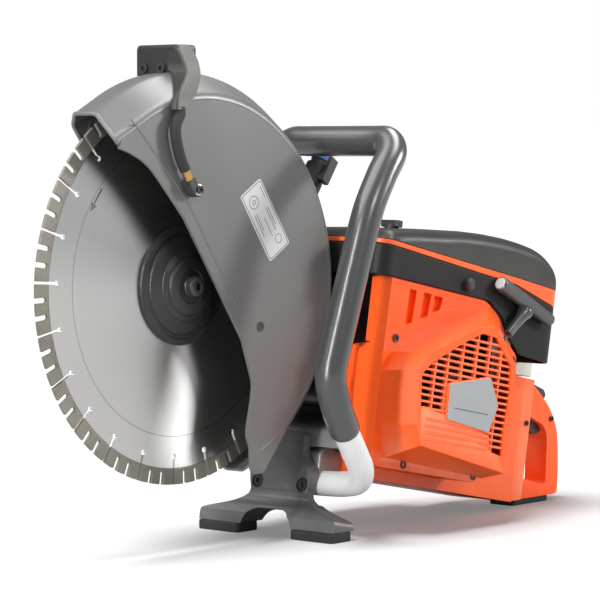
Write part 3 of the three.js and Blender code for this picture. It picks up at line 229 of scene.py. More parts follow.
def surface(name, color, roughness, metallic=0.0, variation=0.06, grain=260, bump=0.08,
            rough_spread=0.08, edge_wear_and_sheen=None, edge_wear_and_sheen_amount=0.5, coat=0.0, streak=(1, 1, 1),
            specular=0.5):
    """Coloured surface with mottled colour, uneven gloss, a fine grain and lighter edges (wear and
    painted highlight).
    """
    material, tree, shader = start_material(name, {
        "Metallic": metallic, "Specular IOR Level": specular, "Coat Weight": coat,
        "Coat Roughness": 0.25})
    where = node(tree, "TexCoord").outputs["Object"]
    mapping = node(tree, "Mapping", {"Scale": streak})
    link(tree, where, mapping.inputs["Vector"])
    stretched = mapping.outputs["Vector"]

    def noise(scale, detail, vector=stretched):
        made = node(tree, "TexNoise", {"Scale": scale, "Detail": detail})
        link(tree, vector, made.inputs["Vector"])
        return made.outputs["Fac"]

    dark = [c * (1 - variation) for c in color]
    light = [min(c * (1 + variation), 1) for c in color]
    paint = two_tones(tree, noise(14, 5), dark, light, 0.3, 0.7)
    # Sharp edges turn towards the lighter colour: partly edge wear, partly a painted highlight on
    # rounded edges.
    if edge_wear_and_sheen:
        edge = node(tree, "MapRange", {"From Min": 0.52, "From Max": 0.62})
        link(tree, node(tree, "NewGeometry").outputs["Pointiness"], edge.inputs["Value"])
        worn_and_sheen_edges = scaled(tree, edge.outputs["Result"], noise(45, 6, where))
        paint = mixed(tree, scaled(tree, worn_and_sheen_edges, edge_wear_and_sheen_amount), paint, edge_wear_and_sheen)
    link(tree, paint, shader.inputs["Base Color"])
    uneven = node(tree, "MapRange", {"To Min": max(roughness - rough_spread, 0.02),
                                     "To Max": min(roughness + rough_spread, 1)})
    link(tree, noise(38, 6), uneven.inputs["Value"])
    link(tree, uneven.outputs["Result"], shader.inputs["Roughness"])
    relief = node(tree, "Bump", {"Strength": bump, "Distance": 0.0004})
    link(tree, noise(grain * 10, 3), relief.inputs["Height"])
    link(tree, relief.outputs["Normal"], shader.inputs["Normal"])
    return material


def ground_steel(name, color, ring_marks):
    """Ground steel disc: brushed round the axis, with faint rings where it was ground."""
    material, tree, shader = start_material(name, {
        "Metallic": 1.0, "Anisotropic": 0.88, "Anisotropic Rotation": 0.25})
    tangent = node(tree, "Tangent", direction_type="RADIAL", axis="X")
    link(tree, tangent.outputs["Tangent"], shader.inputs["Tangent"])
    flat = node(tree, "VectorMath", {1: (0, 1, 1)}, operation="MULTIPLY")
    link(tree, node(tree, "TexCoord").outputs["Object"], flat.inputs[0])
    length = node(tree, "VectorMath", operation="LENGTH")
    link(tree, flat.outputs["Vector"], length.inputs[0])
    radius = length.outputs["Value"]

    def rings(scale, detail):
        noise = node(tree, "TexNoise", {"Scale": scale, "Detail": detail}, noise_dimensions="1D")
        link(tree, radius, noise.inputs["W"])
        return noise.outputs["Fac"]

    relief = node(tree, "Bump", {"Strength": 0.012, "Distance": 0.0001})
    link(tree, rings(2400, 2), relief.inputs["Height"])
    link(tree, relief.outputs["Normal"], shader.inputs["Normal"])
    gloss = node(tree, "MapRange", {"To Min": 0.27, "To Max": 0.29})
    link(tree, rings(150, 3), gloss.inputs["Value"])
    link(tree, gloss.outputs["Result"], shader.inputs["Roughness"])
    base = two_tones(tree, rings(420, 4), [c * 0.985 for c in color], [c * 1.01 for c in color],
                     0.35, 0.65)
    for at, half, shade in ring_marks:
        near = node(tree, "Math", {1: at * MM, 2: half * MM}, operation="COMPARE")
        link(tree, radius, near.inputs[0])
        base = mixed(tree, scaled(tree, near.outputs[0], 0.75), base, (shade, shade, shade * 0.96))
    link(tree, base, shader.inputs["Base Color"])
    return material


LOOK = {
    "orange": surface(
        "orange_plastic", (1.0, 0.108, 0.008), 0.34, variation=0.04, grain=330, bump=0.06, coat=0.1,
        edge_wear_and_sheen=(1.0, 0.42, 0.22), edge_wear_and_sheen_amount=0.9, specular=0.35),
    "cover": surface(
        "cover_plastic", (0.032, 0.031, 0.029), 0.4, variation=0.05, grain=300,
        edge_wear_and_sheen=(0.2, 0.195, 0.18), specular=0.3),
    "sleeve": surface(
        "sleeve_plastic", (0.045, 0.046, 0.047), 0.3, variation=0.05, grain=240, bump=0.04,
        rough_spread=0.04, coat=0.9),
    "grip": surface(
        "grip_plastic", (0.016, 0.015, 0.014), 0.42, variation=0.05, grain=240, bump=0.06,
        rough_spread=0.04),
    "guard": surface(
        "guard_paint", (0.165, 0.165, 0.162), 0.38, metallic=0.3, variation=0.015,
        rough_spread=0.015, grain=300, bump=0.05),
    "steel": surface("steel", (0.55, 0.55, 0.54), 0.3, metallic=1.0, bump=0.05),
    "dark_steel": surface(
        "blackened_steel", (0.045, 0.044, 0.043), 0.36, metallic=0.6, variation=0.25, bump=0.2,
        edge_wear_and_sheen=(0.35, 0.35, 0.34)),
    "casting": surface(
        "cast_alloy", (0.36, 0.36, 0.35), 0.52, metallic=0.85, variation=0.14, grain=120, bump=0.5,
        rough_spread=0.14),
    "stand": surface(
        "stand_paint", (0.070, 0.073, 0.071), 0.38, metallic=0.2, variation=0.08, grain=200,
        bump=0.25, edge_wear_and_sheen=(0.3, 0.3, 0.3)),
    "bright": surface(
        "silver_tube", (0.86, 0.865, 0.87), 0.42, metallic=0.15, variation=0.1, grain=90, bump=0.35,
        rough_spread=0.12),
    "black": surface(
        "black_plastic", (0.028, 0.028, 0.029), 0.5, variation=0.12, bump=0.2,
        edge_wear_and_sheen=(0.11, 0.11, 0.11)),
    "rubber": surface("rubber", (0.02, 0.02, 0.021), 0.72, variation=0.2, grain=180, bump=0.35),
    "brass": surface("brass", (0.62, 0.36, 0.13), 0.3, metallic=1.0, variation=0.1),
    "blue": surface("blue_plastic", (0.03, 0.14, 0.42), 0.38),
    "paper": surface("filter_paper", (0.62, 0.58, 0.48), 0.92, variation=0.1, grain=90, bump=0.6),
    "natural": surface("natural_plastic", (0.6, 0.58, 0.52), 0.5, variation=0.08, bump=0.15),
    "plate": surface(
        "plate_silver", (0.40, 0.41, 0.42), 0.36, metallic=0.5, variation=0.03, bump=0.04,
        streak=(1, 1, 12)),
    "label": surface("label_film", (0.55, 0.55, 0.545), 0.45, variation=0.03, bump=0.03),
    "ink": surface("label_ink", (0.12, 0.12, 0.125), 0.5, variation=0.05, bump=0.02),
    "side": surface(
        "side_plastic", (0.014, 0.0135, 0.013), 0.45, variation=0.05, grain=300,
        edge_wear_and_sheen=(0.2, 0.195, 0.18), edge_wear_and_sheen_amount=0.4, specular=0.2),
    "shell": surface("grip_shell", (0.11, 0.105, 0.095), 0.45, variation=0.05),
    "blade": ground_steel(
        "ground_steel", (0.66, 0.66, 0.65), [(132.5, 0.35, 0.25), (160.6, 0.5, 0.12)]),
    "segment": surface(
        "diamond_segment", (0.24, 0.225, 0.195), 0.5, metallic=0.8, variation=0.2, grain=110,
        bump=0.6, rough_spread=0.12),
}


# ---- mesh helpers
def polar(radius, angle):
    return Vector((radius * math.cos(angle), radius * math.sin(angle)))


def turn_at(before, point, after, steps):
    """The corner at point, rounded over the length in its third number if it has one."""
    here = Vector(point[:2])
    if len(point) < 3:
        return [here]
    start, end = (here + (Vector(p[:2]) - here).normalized() * point[2] for p in (before, after))
    return [start * (1 - t) ** 2 + here * 2 * t * (1 - t) + end * t * t
            for t in (k / steps for k in range(steps + 1))]


def rounded(points, steps):
    """Closed polygon with its corners rounded."""
    made = []
    for i, point in enumerate(points):
        made += turn_at(points[i - 1], point, points[(i + 1) % len(points)], steps)
    return made


def open_rounded(points, steps=5):
    """Open line with its inner corners rounded."""
    made = [Vector(points[0][:2])]
    for before, here, after in zip(points, points[1:], points[2:]):
        made += turn_at(before, here, after, steps)
    return made + [Vector(points[-1][:2])]


def plate(outer, x0, x1, holes=()):
    """Flat plate in the YZ plane between x0 and x1, with through holes."""
    flat = [[Vector((0, p[0], p[1])) for p in ring] for ring in (outer, *holes)]
    points = [p for ring in flat for p in ring]
    count = len(points)
    sheet = geometry.tessellate_polygon(flat) if holes else [range(count)]
    verts = [(x, p.y, p.z) for x in (x0, x1) for p in points]
    faces = [tuple(f) for f in sheet] + [tuple(i + count for i in reversed(f)) for f in sheet]
    start = 0
    for ring in flat:
        for i in range(len(ring)):
            a, b = start + i, start + (i + 1) % len(ring)
            faces.append((a, b, b + count, a + count))
        start += len(ring)
    return verts, faces


def disc_points(radius, steps, centre=(0, 0)):
    return [Vector(centre) + polar(radius, 2 * math.pi * i / steps) for i in range(steps)]


def loft(rings, caps=True):
    """Closed rings of points joined one to the next."""
    count = len(rings[0])
    verts = [tuple(p) for ring in rings for p in ring]
    faces = []
    for r in range(len(rings) - 1):
        for i in range(count):
            a, b = r * count + i, r * count + (i + 1) % count
            faces.append((a, b, b + count, a + count))
    if caps:
        faces.append(tuple(reversed(range(count))))
        last = (len(rings) - 1) * count
        faces.append(tuple(range(last, last + count)))
    return verts, faces


def lathe_x(profile, steps):
    """Turned piece about X from (x, radius) pairs."""
    return loft([[(x, *p) for p in disc_points(radius, steps)] for x, radius in profile])


def catmull(points, per_span):
    """Smooth line through the points, as a uniform Catmull-Rom spline."""
    pts = [Vector(p) for p in points]
    pts = [pts[0] * 2 - pts[1], *pts, pts[-1] * 2 - pts[-2]]
    made = []
    for i in range(1, len(pts) - 2):
        p0, p1, p2, p3 = pts[i - 1:i + 3]
        for k in range(per_span):
            t = k / per_span
            made.append(0.5 * (2 * p1 + (p2 - p0) * t + (2 * p0 - 5 * p1 + 4 * p2 - p3) * t ** 2
                               + (3 * p1 - p0 - 3 * p2 + p3) * t ** 3))
    made.append(pts[-2].copy())
    return made


def tube(path, radius, sides):
    """Round tube along a dense line; radius is a number or one number per point."""
    radii = radius if isinstance(radius, (list, tuple)) else [radius] * len(path)
    tangents = [(path[min(i + 1, len(path) - 1)] - path[max(i - 1, 0)]).normalized()
                for i in range(len(path))]
    side = tangents[0].orthogonal().normalized()
    rings = []
    for i, (point, along) in enumerate(zip(path, tangents)):
        if i:
            side = (side - along * side.dot(along)).normalized()
        other = along.cross(side)
        rings.append([point + radii[i] * (side * math.cos(2 * math.pi * k / sides)
                                          + other * math.sin(2 * math.pi * k / sides))
                      for k in range(sides)])
    return loft(rings)


def join(*parts):
    """Several parts as one, each left as it is."""
    verts, faces = [], []
    for part_verts, part_faces in parts:
        offset = len(verts)
        verts += [tuple(v) for v in part_verts]
        faces += [tuple(i + offset for i in face) for face in part_faces]
    return verts, faces


def moved(part, matrix):
    verts, faces = part
    return [matrix @ Vector(v) for v in verts], faces


def brick(x0, y0, z0, x1, y1, z1):
    return plate([Vector((y0, z0)), Vector((y1, z0)), Vector((y1, z1)), Vector((y0, z1))], x0, x1)


def smooth_by_angle(mesh, degrees=32):
    """Smooth shading, with every edge bent more than this kept sharp."""
    for face in mesh.polygons:
        face.use_smooth = True
    grown = bmesh.new()
    grown.from_mesh(mesh)
    for edge in grown.edges:
        edge.smooth = len(edge.link_faces) != 2 or edge.calc_face_angle(4) < degrees * RAD
    grown.to_mesh(mesh)
    grown.free()


def soften(obj, width, segments=3, angle=28):
    """Rounded edges that leave the flat faces shaded flat."""
    bevel = obj.modifiers.new("soft_edges", "BEVEL")
    bevel.width, bevel.segments = width * MM, segments
    bevel.limit_method, bevel.angle_limit = "ANGLE", angle * RAD
    bevel.miter_outer = "MITER_ARC"
    even = obj.modifiers.new("flat_faces_stay_flat", "WEIGHTED_NORMAL")
    even.weight = 100
    even.keep_sharp = True


WELD_AT, ONE_PLANE = 2e-6, 0.2 * RAD


def piece(name, part, matrix, body, look, bevel=0.0, segments=2, angle=28, replaces=(),
          origin=Vector((0, 0, 0)), weld=True, flat=False):
    """A finished visible piece: mesh, soft edges, material, and the CAD body it rides on, if any."""
    verts, faces = part
    mesh = bpy.data.meshes.new(name)
    mesh.from_pydata([matrix @ Vector(v) - origin for v in verts], [], faces)
    made = bmesh.new()
    made.from_mesh(mesh)
    if weld:
        bmesh.ops.remove_doubles(made, verts=made.verts, dist=WELD_AT)
    bmesh.ops.recalc_face_normals(made, faces=made.faces)
    if flat:
        bmesh.ops.dissolve_limit(made, angle_limit=ONE_PLANE, verts=made.verts, edges=made.edges)
    made.to_mesh(mesh)
    made.free()
    obj = add_object(name, mesh)
    obj.location = origin
    smooth_by_angle(mesh)
    mesh.materials.append(LOOK[look])
    if bevel:
        soften(obj, bevel, segments, angle)
    if body:
        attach(obj, body)
    if replaces:
        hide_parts(*replaces)
    return obj


def place_on(matrix, body, usual_look):
    """Function that makes pieces here, on this body, in this look unless told otherwise."""
    def add(name, part, look=usual_look, **settings):
        return piece(name, part, matrix, body, look, **settings)
    return add


on_blade = place_on(AT_BLADE, "blade", "blade")
on_guard = place_on(AT_BLADE, "guard", "guard")
on_handle = place_on(AT_HANDLE, "frame", "bright")
on_body = place_on(AT_BODY, "frame", "orange")
on_pull = place_on(AT_BODY, "pull", "sleeve")


# ---- blade and flanges
SLOT_COUNT, FIRST_SLOT, TEETH = 24, 177 * RAD, 3
SLOT_PITCH = 2 * math.pi / SLOT_COUNT
CORE_RADIUS, TIP_RADIUS, BORE = 161.0, 175.0, 12.7
CORE_HALF, SEGMENT_HALF = 1.25, 1.5
SEGMENT_FOOT = CORE_RADIUS - 0.2
KEYHOLE_RADIUS, KEYHOLE_CENTRE, SLOT_HALF = 2.6, 150.5, 1.2
NOTCH_FLOOR, NOTCH_HALF = 163.0, 2.2
RIM_STEPS = 8
FLANGE = [(1.8, 8.8), (1.8, 52.5), (3.6, 52.5), (5.0, 51.6), (6.2, 48.5), (6.6, 47.2), (5.6, 46.4),
          (5.7, 43.5), (7.2, 42.6), (9.2, 38), (10.4, 33), (10.2, 32.2), (11.4, 31.5), (13.4, 27.4),
          (13.0, 26.4), (15.4, 24.8), (16, 23.6), (16, 15.5), (15.2, 15), (15.2, 8.8)]
ARROW = [(-12, -0.9), (4, -0.9), (4, -3.6), (12, 0), (4, 3.6), (4, 0.9), (-12, 0.9)]
ARROW_RADIUS, ARROW_ANGLE = 129, 143.5


def core_outline():
    """The steel core's rim, with a keyhole slot between each two segments."""
    rim = []
    for k in range(SLOT_COUNT):
        middle = FIRST_SLOT + k * SLOT_PITCH
        rim.append(polar(CORE_RADIUS, middle - SLOT_HALF / CORE_RADIUS))
        for turn in range(28, 333, 19):
            along = KEYHOLE_CENTRE + KEYHOLE_RADIUS * math.cos(turn * RAD)
            rim.append(polar(along, middle - KEYHOLE_RADIUS * math.sin(turn * RAD) / along))
        rim.append(polar(CORE_RADIUS, middle + SLOT_HALF / CORE_RADIUS))
        rim += [polar(CORE_RADIUS, middle + SLOT_PITCH * step / RIM_STEPS)
                for step in range(1, RIM_STEPS)]
    return rim


def segment_outline(middle):
    """The diamond segment after the slot at this angle, with round notches between its teeth."""
    start = middle + SLOT_HALF / TIP_RADIUS
    end = middle + SLOT_PITCH - SLOT_HALF / TIP_RADIUS
    outer = [polar(SEGMENT_FOOT, start), polar(TIP_RADIUS, start)]
    for tooth in range(1, TEETH):
        notch = middle + tooth * SLOT_PITCH / TEETH
        last = middle + (tooth - 1) * SLOT_PITCH / TEETH
        outer.append(polar(TIP_RADIUS, (notch + last) / 2))
        outer.append(polar(TIP_RADIUS, notch - NOTCH_HALF / TIP_RADIUS))
        for turn in range(-90, 91, 30):
            depth = NOTCH_FLOOR + NOTCH_HALF * (1 - math.cos(turn * RAD))
            outer.append(polar(depth, notch + NOTCH_HALF * math.sin(turn * RAD) / depth))
        outer.append(polar(TIP_RADIUS, notch + NOTCH_HALF / TIP_RADIUS))
    outer += [polar(TIP_RADIUS, end - SLOT_PITCH / 6), polar(TIP_RADIUS, end),
              polar(SEGMENT_FOOT, end)]
    return outer + [polar(SEGMENT_FOOT, end - (end - start) * t / 6) for t in range(1, 6)]


def blade_pieces():
    core = plate(core_outline(), -CORE_HALF, CORE_HALF, holes=[disc_points(BORE, 32)])
    on_blade("blade_core", core, bevel=0.12, segments=1, origin=BLADE_CENTRE,
             replaces=["diamond_blade"])
    segments = [plate(segment_outline(FIRST_SLOT + k * SLOT_PITCH), -SEGMENT_HALF, SEGMENT_HALF)
                for k in range(SLOT_COUNT)]
    on_blade("blade_segments", join(*segments), "segment", bevel=0.3, origin=BLADE_CENTRE)
    on_blade("outer_flange_turned", lathe_x(FLANGE, 96), "dark_steel", bevel=0.35, angle=22,
             replaces=["outer_flange"], origin=BLADE_CENTRE)
    spin = (Matrix.Rotation(ARROW_ANGLE * RAD, 4, "X") @ Matrix.Translation((0, ARROW_RADIUS, 0))
            @ Matrix.Rotation(90 * RAD, 4, "X"))
    arrow = plate([Vector(p) for p in ARROW], CORE_HALF - 0.05, CORE_HALF + 0.05)
    on_blade("direction_arrow", moved(arrow, spin), "ink", origin=BLADE_CENTRE)


# ---- blade guard
# Angles in degrees round the blade, up from straight ahead; the rim runs straight below STRAIGHT.
GUARD_RIM, MOUTH, STRAIGHT, GUARD_END = 187.0, 48, 62, -114
GUARD_LEFT, GUARD_RIGHT, WALL = 36.0, -25.0, 2.5
LEFT_DROP, RIGHT_DROP, LEFT_LEG, RIGHT_LEG = 19, 12, 5, 26
SET_BACK, FADE_TO, SLANT_WIDTH = 5, 60, 24
HOOP_STEPS, ARC_STEPS, LEFT_ARC_START, ARC_END = 132, 96, 50, 228
TUCK, PLATE_SUNK, PLATE_EXTRA = 3, 0.2, 0.6


def rim_radius(angle):
    return GUARD_RIM / math.cos(max(STRAIGHT - angle, 0) * RAD)


def guard_point(x, radius, angle):
    return Vector((x, -radius * math.cos(angle * RAD), radius * math.sin(angle * RAD)))


def guard_section(angle, grow):
    """Corners of the hoop's section: its outside when grow is 0, its inside when grow is -WALL."""
    rim = rim_radius(angle) + grow
    left, right = GUARD_LEFT + grow, GUARD_RIGHT - grow
    left_top, right_top = rim - LEFT_DROP, rim - RIGHT_DROP
    return [(left, left_top - LEFT_LEG), (left, left_top, 5 - abs(grow)), (8, rim, 4), (-14, rim, 3),
            (right, right_top, 4), (right, right_top - (RIGHT_LEG + grow))]


def hoop_rings():
    """Sections round the wheel; at the mouth they lean back towards the right side."""
    rings = []
    for i in range(HOOP_STEPS + 1):
        angle = MOUTH + (360 + GUARD_END - MOUTH) * i / HOOP_STEPS
        back = angle + SET_BACK * max((FADE_TO - angle) / (FADE_TO - MOUTH), 0)
        ring = []
        for grow, thin in ((0, 0), (-WALL, 1.0)):
            near, far = (open_rounded([(*p[:2], max(p[2] - thin, 1)) if len(p) > 2 else p
                                       for p in guard_section(turn, grow)])
                         for turn in (angle, back))
            wall = []
            for p, q in zip(near, far):
                share = min(max((GUARD_LEFT - p.x) / SLANT_WIDTH, 0), 1)
                wall.append(guard_point(*p, angle).lerp(guard_point(*q, back), share))
            ring += wall if not ring else wall[::-1]
        rings.append(ring)
    return rings


def plate_arc(drop, first):
    """Edge of a side plate, tucked under the hoop's shoulder."""
    made = []
    for i in range(ARC_STEPS + 1):
        angle = first + (ARC_END - first) * i / ARC_STEPS
        p = guard_point(0, rim_radius(angle) - drop - TUCK, angle)
        made.append(Vector((p.y, p.z)))
    return made


LEFT_EDGE = [(102, -134.5), (72.5, -169, 3), (58.7, -169.5, 3), (55.5, -163), (54.9, -145),
             (49.8, -133, 6), (57.2, -101, 6), (58.8, -88, 6), (44.6, -48.5), (-30, 60), (-55, 87, 20),
             (-76, 108, 14), (-98, 117), (-110, 120.5)]
RIGHT_EDGE = [(102, -134.5), (85.5, -160), (55, -148), (40, -60, 16), (-16, -42, 14), (-42, 0, 20),
              (-34, 60, 14), (-76, 108, 14), (-93.5, 124)]
CREASE = [(-96.7, 145.4), (-83.4, 132.8), (-70, 119.3), (-49, 97.9), (-23.9, 70.4), (-4.8, 42.9),
          (14.5, 14.4), (36.3, -18.7)]
PIN_HOLE = (68, -37.7)


def guard_pieces():
    rings = hoop_rings()
    on_guard("guard_hoop", loft(rings), bevel=0.7, angle=40, replaces=["blade_guard"])
    left = plate(rounded(LEFT_EDGE, 8) + plate_arc(LEFT_DROP, LEFT_ARC_START),
                 GUARD_LEFT - WALL - PLATE_EXTRA, GUARD_LEFT - PLATE_SUNK)
    on_guard("guard_left_plate", left, bevel=1.1, segments=3, angle=40, flat=True)
    right = plate(rounded(RIGHT_EDGE, 8) + plate_arc(RIGHT_DROP, FADE_TO),
                  GUARD_RIGHT + PLATE_SUNK, GUARD_RIGHT + WALL + PLATE_EXTRA)
    on_guard("guard_right_plate", right, bevel=0.9, angle=40, flat=True)
    hub = lathe_x([(GUARD_RIGHT, 30.6), (GUARD_RIGHT, 37), (-18, 37), (-18, 30.6)], 64)
    on_guard("guard_hub", hub, bevel=0.6)
    bead = catmull([(GUARD_LEFT - 0.3, y, z) for y, z in CREASE], 8)
    on_guard("guard_crease", tube(bead, 0.7, 12))
    half = len(rings[0]) // 2
    mouth = [(a + b) / 2 for a, b in zip(rings[0][:half], rings[0][:half - 1:-1])]
    on_guard("mouth_lip", tube(mouth, 1.9, 12))
    plug = lathe_x([(GUARD_LEFT - 1, 0.01), (GUARD_LEFT - 1, 4.6), (GUARD_LEFT + 0.3, 4.6),
                    (GUARD_LEFT + 0.5, 3.4), (GUARD_LEFT - 0.1, 2.8), (GUARD_LEFT - 0.1, 0.01)], 28)
    on_guard("guard_plug", moved(plug, Matrix.Translation((0, *PIN_HOLE))), "black", bevel=0.3)
    label_pieces()


def label_pieces():
    """Blank plate on the guard with a plain border, two dials and a few rules; no lettering."""
    corner, far, side = Vector((40.9, 77.8)), Vector((80.9, 19.3)), Vector((67.5, 94.3))
    along, across = (far - corner).normalized(), (side - corner).normalized()
    length, width = (far - corner).length, (side - corner).length

    def at(u, v):
        return corner + along * u + across * v

    def frame_at(u0, v0, u1, v1, radius):
        return rounded([(*at(u0, v0), radius), (*at(u1, v0), radius), (*at(u1, v1), radius),
                        (*at(u0, v1), radius)], 5)

    proud = GUARD_LEFT + 0.35
    ink = proud - 0.1, proud + 0.05
    on_guard("guard_label", plate(frame_at(0, 0, length, width, 3), GUARD_LEFT - 0.3, proud), "label",
             bevel=0.12, flat=True)
    marks = [plate(frame_at(1.2, 1.2, length - 1.2, width - 1.2, 2.4), *ink,
                   holes=[frame_at(1.9, 1.9, length - 1.9, width - 1.9, 2)])]
    for u, v, radius in ((14, 12, 6.2), (14, 12, 2.2), (59, 21, 4.5)):
        marks.append(plate(disc_points(radius, 32, at(u, v)), *ink,
                           holes=[disc_points(radius - 0.7, 32, at(u, v))]))
    for u, v, reach in ((25, 6, 22), (25, 8.6, 17), (27, 22, 24), (27, 24.6, 19), (33, 15.4, 20),
                        (6, 26.5, 12)):
        rule = [at(u, v), at(u + reach, v), at(u + reach, v + 0.7), at(u, v + 0.7)]
        marks.append(plate(rule, *ink))
    on_guard("guard_label_marks", join(*marks), "ink", weld=False)


# ---- grip on the guard
def rounded_ring(z, x0, x1, y0, y1, radius):
    corners = rounded([(x0, y0, radius), (x1, y0, radius), (x1, y1, radius), (x0, y1, radius)], 5)
    return [(p.x, p.y, z) for p in corners]


GRIP_ARM = [(210.8, 0, 8.5, -11, 2), (209.5, 0, 10.5, -13.2, 4), (204, 0, 14.5, -14.6, 5),
            (196, 0, 20, -15.5, 4), (190, 2, 24.5, -16.5, 1), (186, 9.6, 28, -19.5, -2),
            (180, 18.6, 32, -26.5, -7), (173, 29, 36.5, -36, -14), (168, 36.4, 39.5, -42.5, -20),
            (160, 36.4, 42.6, -47.5, -30), (153.6, 36.4, 45, -50.5, -37)]


def grip_pieces():
    """Block and arm as rows of height, left and right, front and rear; then the nozzle's screw."""
    block = [rounded_ring(z, -38 + d, 12 - d, -14.3 + d, 12 - d, max(4 - d, 0.5))
             for z, d in ((184, 0), (207, 0), (209.6, 0.8), (210.8, 2.2), (211, 3.6))]
    arm = [rounded_ring(z, x0, x1, y0, y1, min(1.6, (x1 - x0) * 0.3))
           for z, x0, x1, y0, y1 in GRIP_ARM]
    on_guard("grip_block", loft(block), "grip", bevel=0.4, angle=40, replaces=["guard_adjust_grip"])
    on_guard("grip_arm", loft(arm), "grip", bevel=0.4, angle=40)
    shell = [rounded_ring(z, x1 - 3.2, x1 + 1.0, y0 + 2.2, y1 + 0.3, 1.4)
             for z, _, x1, y0, y1 in GRIP_ARM[1:]]
    on_guard("grip_side_shell", loft(shell), "shell", bevel=0.4, angle=40)
    for i, x in enumerate((-27, -6)):
        screw(f"grip_screw_{i + 1}", (x, -14.8, 190.5), AT_BLADE, "guard", (0, -1, 0), 4.4)
    seat = lathe_x([(45, 0.01), (45, 5.4), (46.4, 5.2), (46.8, 4.6), (46.8, 0.01)], 32)
    on_guard("nozzle_ring", moved(seat, Matrix.Translation((0, -23.3, 85))), "steel", bevel=0.3)
    screw("nozzle_screw", (47.2, -23.3, 85), AT_BLADE, "guard", (1, 0, 0), 3.4)


# ---- front handle
HANDLE_PATH = [
    (8, 158, 47), (40, 157, 47.5), (66, 154, 49.5), (84, 148, 54.5), (95, 138, 66), (101, 124, 80),
    (109, 99.5, 104.5), (112, 84, 126), (112, 75, 154), (112, 82, 180), (112, 91, 205), (112, 108, 252),
    (112, 126, 298), (110, 147, 329), (106, 167, 350), (94, 177, 361), (76, 179, 362), (40, 179, 362),
    (0, 179, 362), (-22, 181, 361), (-39, 188, 351), (-50, 203, 318), (-60, 230, 272), (-66, 268, 226),
    (-66, 302, 180), (-62, 322, 130), (-56, 332, 92), (-50, 336, 66)]
TUBE_RADIUS, SLEEVE_RADIUS, SLEEVE_END = 11.8, 14.0, 13.0
FIRST_COVERED, LAST_COVERED, PATH_STEPS = 6, 22, 10


def handle_pieces():
    """Bent tube, with a sleeve from one of its path's points to another."""
    line = catmull(HANDLE_PATH, PATH_STEPS)
    on_handle("handle_tube", tube(line, TUBE_RADIUS, 36), bevel=1.5, segments=3,
              replaces=["front_handle_tube"])
    sleeve = line[FIRST_COVERED * PATH_STEPS:LAST_COVERED * PATH_STEPS + 1]
    radii = [SLEEVE_RADIUS] * len(sleeve)
    radii[0] = radii[-1] = SLEEVE_END
    on_handle("handle_sleeve", tube(sleeve, radii, 40), "sleeve", bevel=0.8,
              replaces=["front_handle_grip"])


# ---- hoses
SPRAY_RADIUS, SUPPLY_RADIUS = 4.8, 5.0
SPRAY_HOSE = [(41.2, -42, 155.5), (42, -43, 149.2), (42.6, -48, 142), (43, -49.5, 134),
              (43, -47.5, 124), (43, -43, 111.5), (43, -37.3, 102)]
SUPPLY_HOSE = [(-10, 183, 309), (-14, 176, 298), (-25, 160, 284), (-33, 132, 270), (-37, 100, 268),
               (-38, 64, 284), (-36, 32, 325), (-34, 12, 372), (-28, 0, 400), (-26, -4, 413)]


def hose_pieces():
    """Short hose on the guard, and the supply hose."""
    on_guard("spray_hose_tube", tube(catmull(SPRAY_HOSE, 10), SPRAY_RADIUS, 24), "rubber",
             replaces=["spray_hose"])
    supply = piece("supply_hose_tube", tube(catmull(SUPPLY_HOSE, 10), SUPPLY_RADIUS, 20), AT_HANDLE,
                   None, "rubber", replaces=["supply_hose"])
    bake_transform(supply)


# ---- covers
COVER = {"left": 94.0, "right": -32.0, "front": -105.0, "rear": 178.0, "corner": 16.0}
COVER_WALL, SHOULDER, SHOULDER_STEPS = 3, 13.0, 9
CROWN_STEPS, CROWN_RISE, SPINE_END = 9, 1.2, 60
COVER_TOP = [(-105, 142), (-98, 147), (-87, 150), (-60, 154.5), (-20, 160), (12, 165), (50, 168.5),
             (85, 170), (115, 169.5), (138, 167.5), (155, 162), (168, 153), (178, 141)]
UPPER_SEAM = [(-105, 139), (100, 134.5), (178, 132)]
LOWER_SEAM = [(-105, 135), (100, 128), (178, 114)]
SKIRT = [(-105, 106), (62, 106), (86, 93), (98, 76.5), (120, 62), (178, 60)]


def along_line(points, y):
    """Height at y of a line given by (y, height) points."""
    if y <= points[0][0]:
        return points[0][1]
    for (y0, z0), (y1, z1) in zip(points, points[1:]):
        if y <= y1:
            return z0 + (z1 - z0) * (y - y0) / (y1 - y0)
    return points[-1][1]


def smooth_top(y):
    """Height of the cover's crown, softened over its corner points."""
    return sum(along_line(COVER_TOP, y + d) for d in (-8, -4, 0, 4, 8)) / 5


def perimeter(inset, per_corner=10, per_side=40):
    """Rounded plan outline of the covers, inset, evenly tied from ring to ring."""
    radius = max(COVER["corner"] - inset, 0.6)
    x0, x1 = COVER["right"] + inset, COVER["left"] - inset
    y0, y1 = COVER["front"] + inset, COVER["rear"] - inset
    corners = [(x1 - radius, y0 + radius, -90), (x1 - radius, y1 - radius, 0),
               (x0 + radius, y1 - radius, 90), (x0 + radius, y0 + radius, 180)]
    arcs = [[Vector((cx + radius * math.cos((a + 90 * k / per_corner) * RAD),
                     cy + radius * math.sin((a + 90 * k / per_corner) * RAD)))
             for k in range(per_corner + 1)] for cx, cy, a in corners]
    made = []
    for i, corner in enumerate(arcs):
        made += corner
        start, end = corner[-1], arcs[(i + 1) % 4][0]
        sides = per_side if i in (0, 2) else per_side // 3
        made += [start.lerp(end, k / sides) for k in range(1, sides)]
    return made


def wall_band(low_line, high_line, gap=0.0):
    """Wall round the machine between two lines, stopping short of the upper one by the gap."""
    outer, inner = perimeter(0), perimeter(COVER_WALL)

    def ring(points, line, drop):
        return [(p.x, p.y, along_line(line, q.y) - drop) for p, q in zip(points, outer)]

    rings = [ring(outer, low_line, 0), ring(outer, high_line, gap), ring(inner, high_line, gap),
             ring(inner, low_line, 0)]
    return loft([*rings, rings[0]], caps=False)


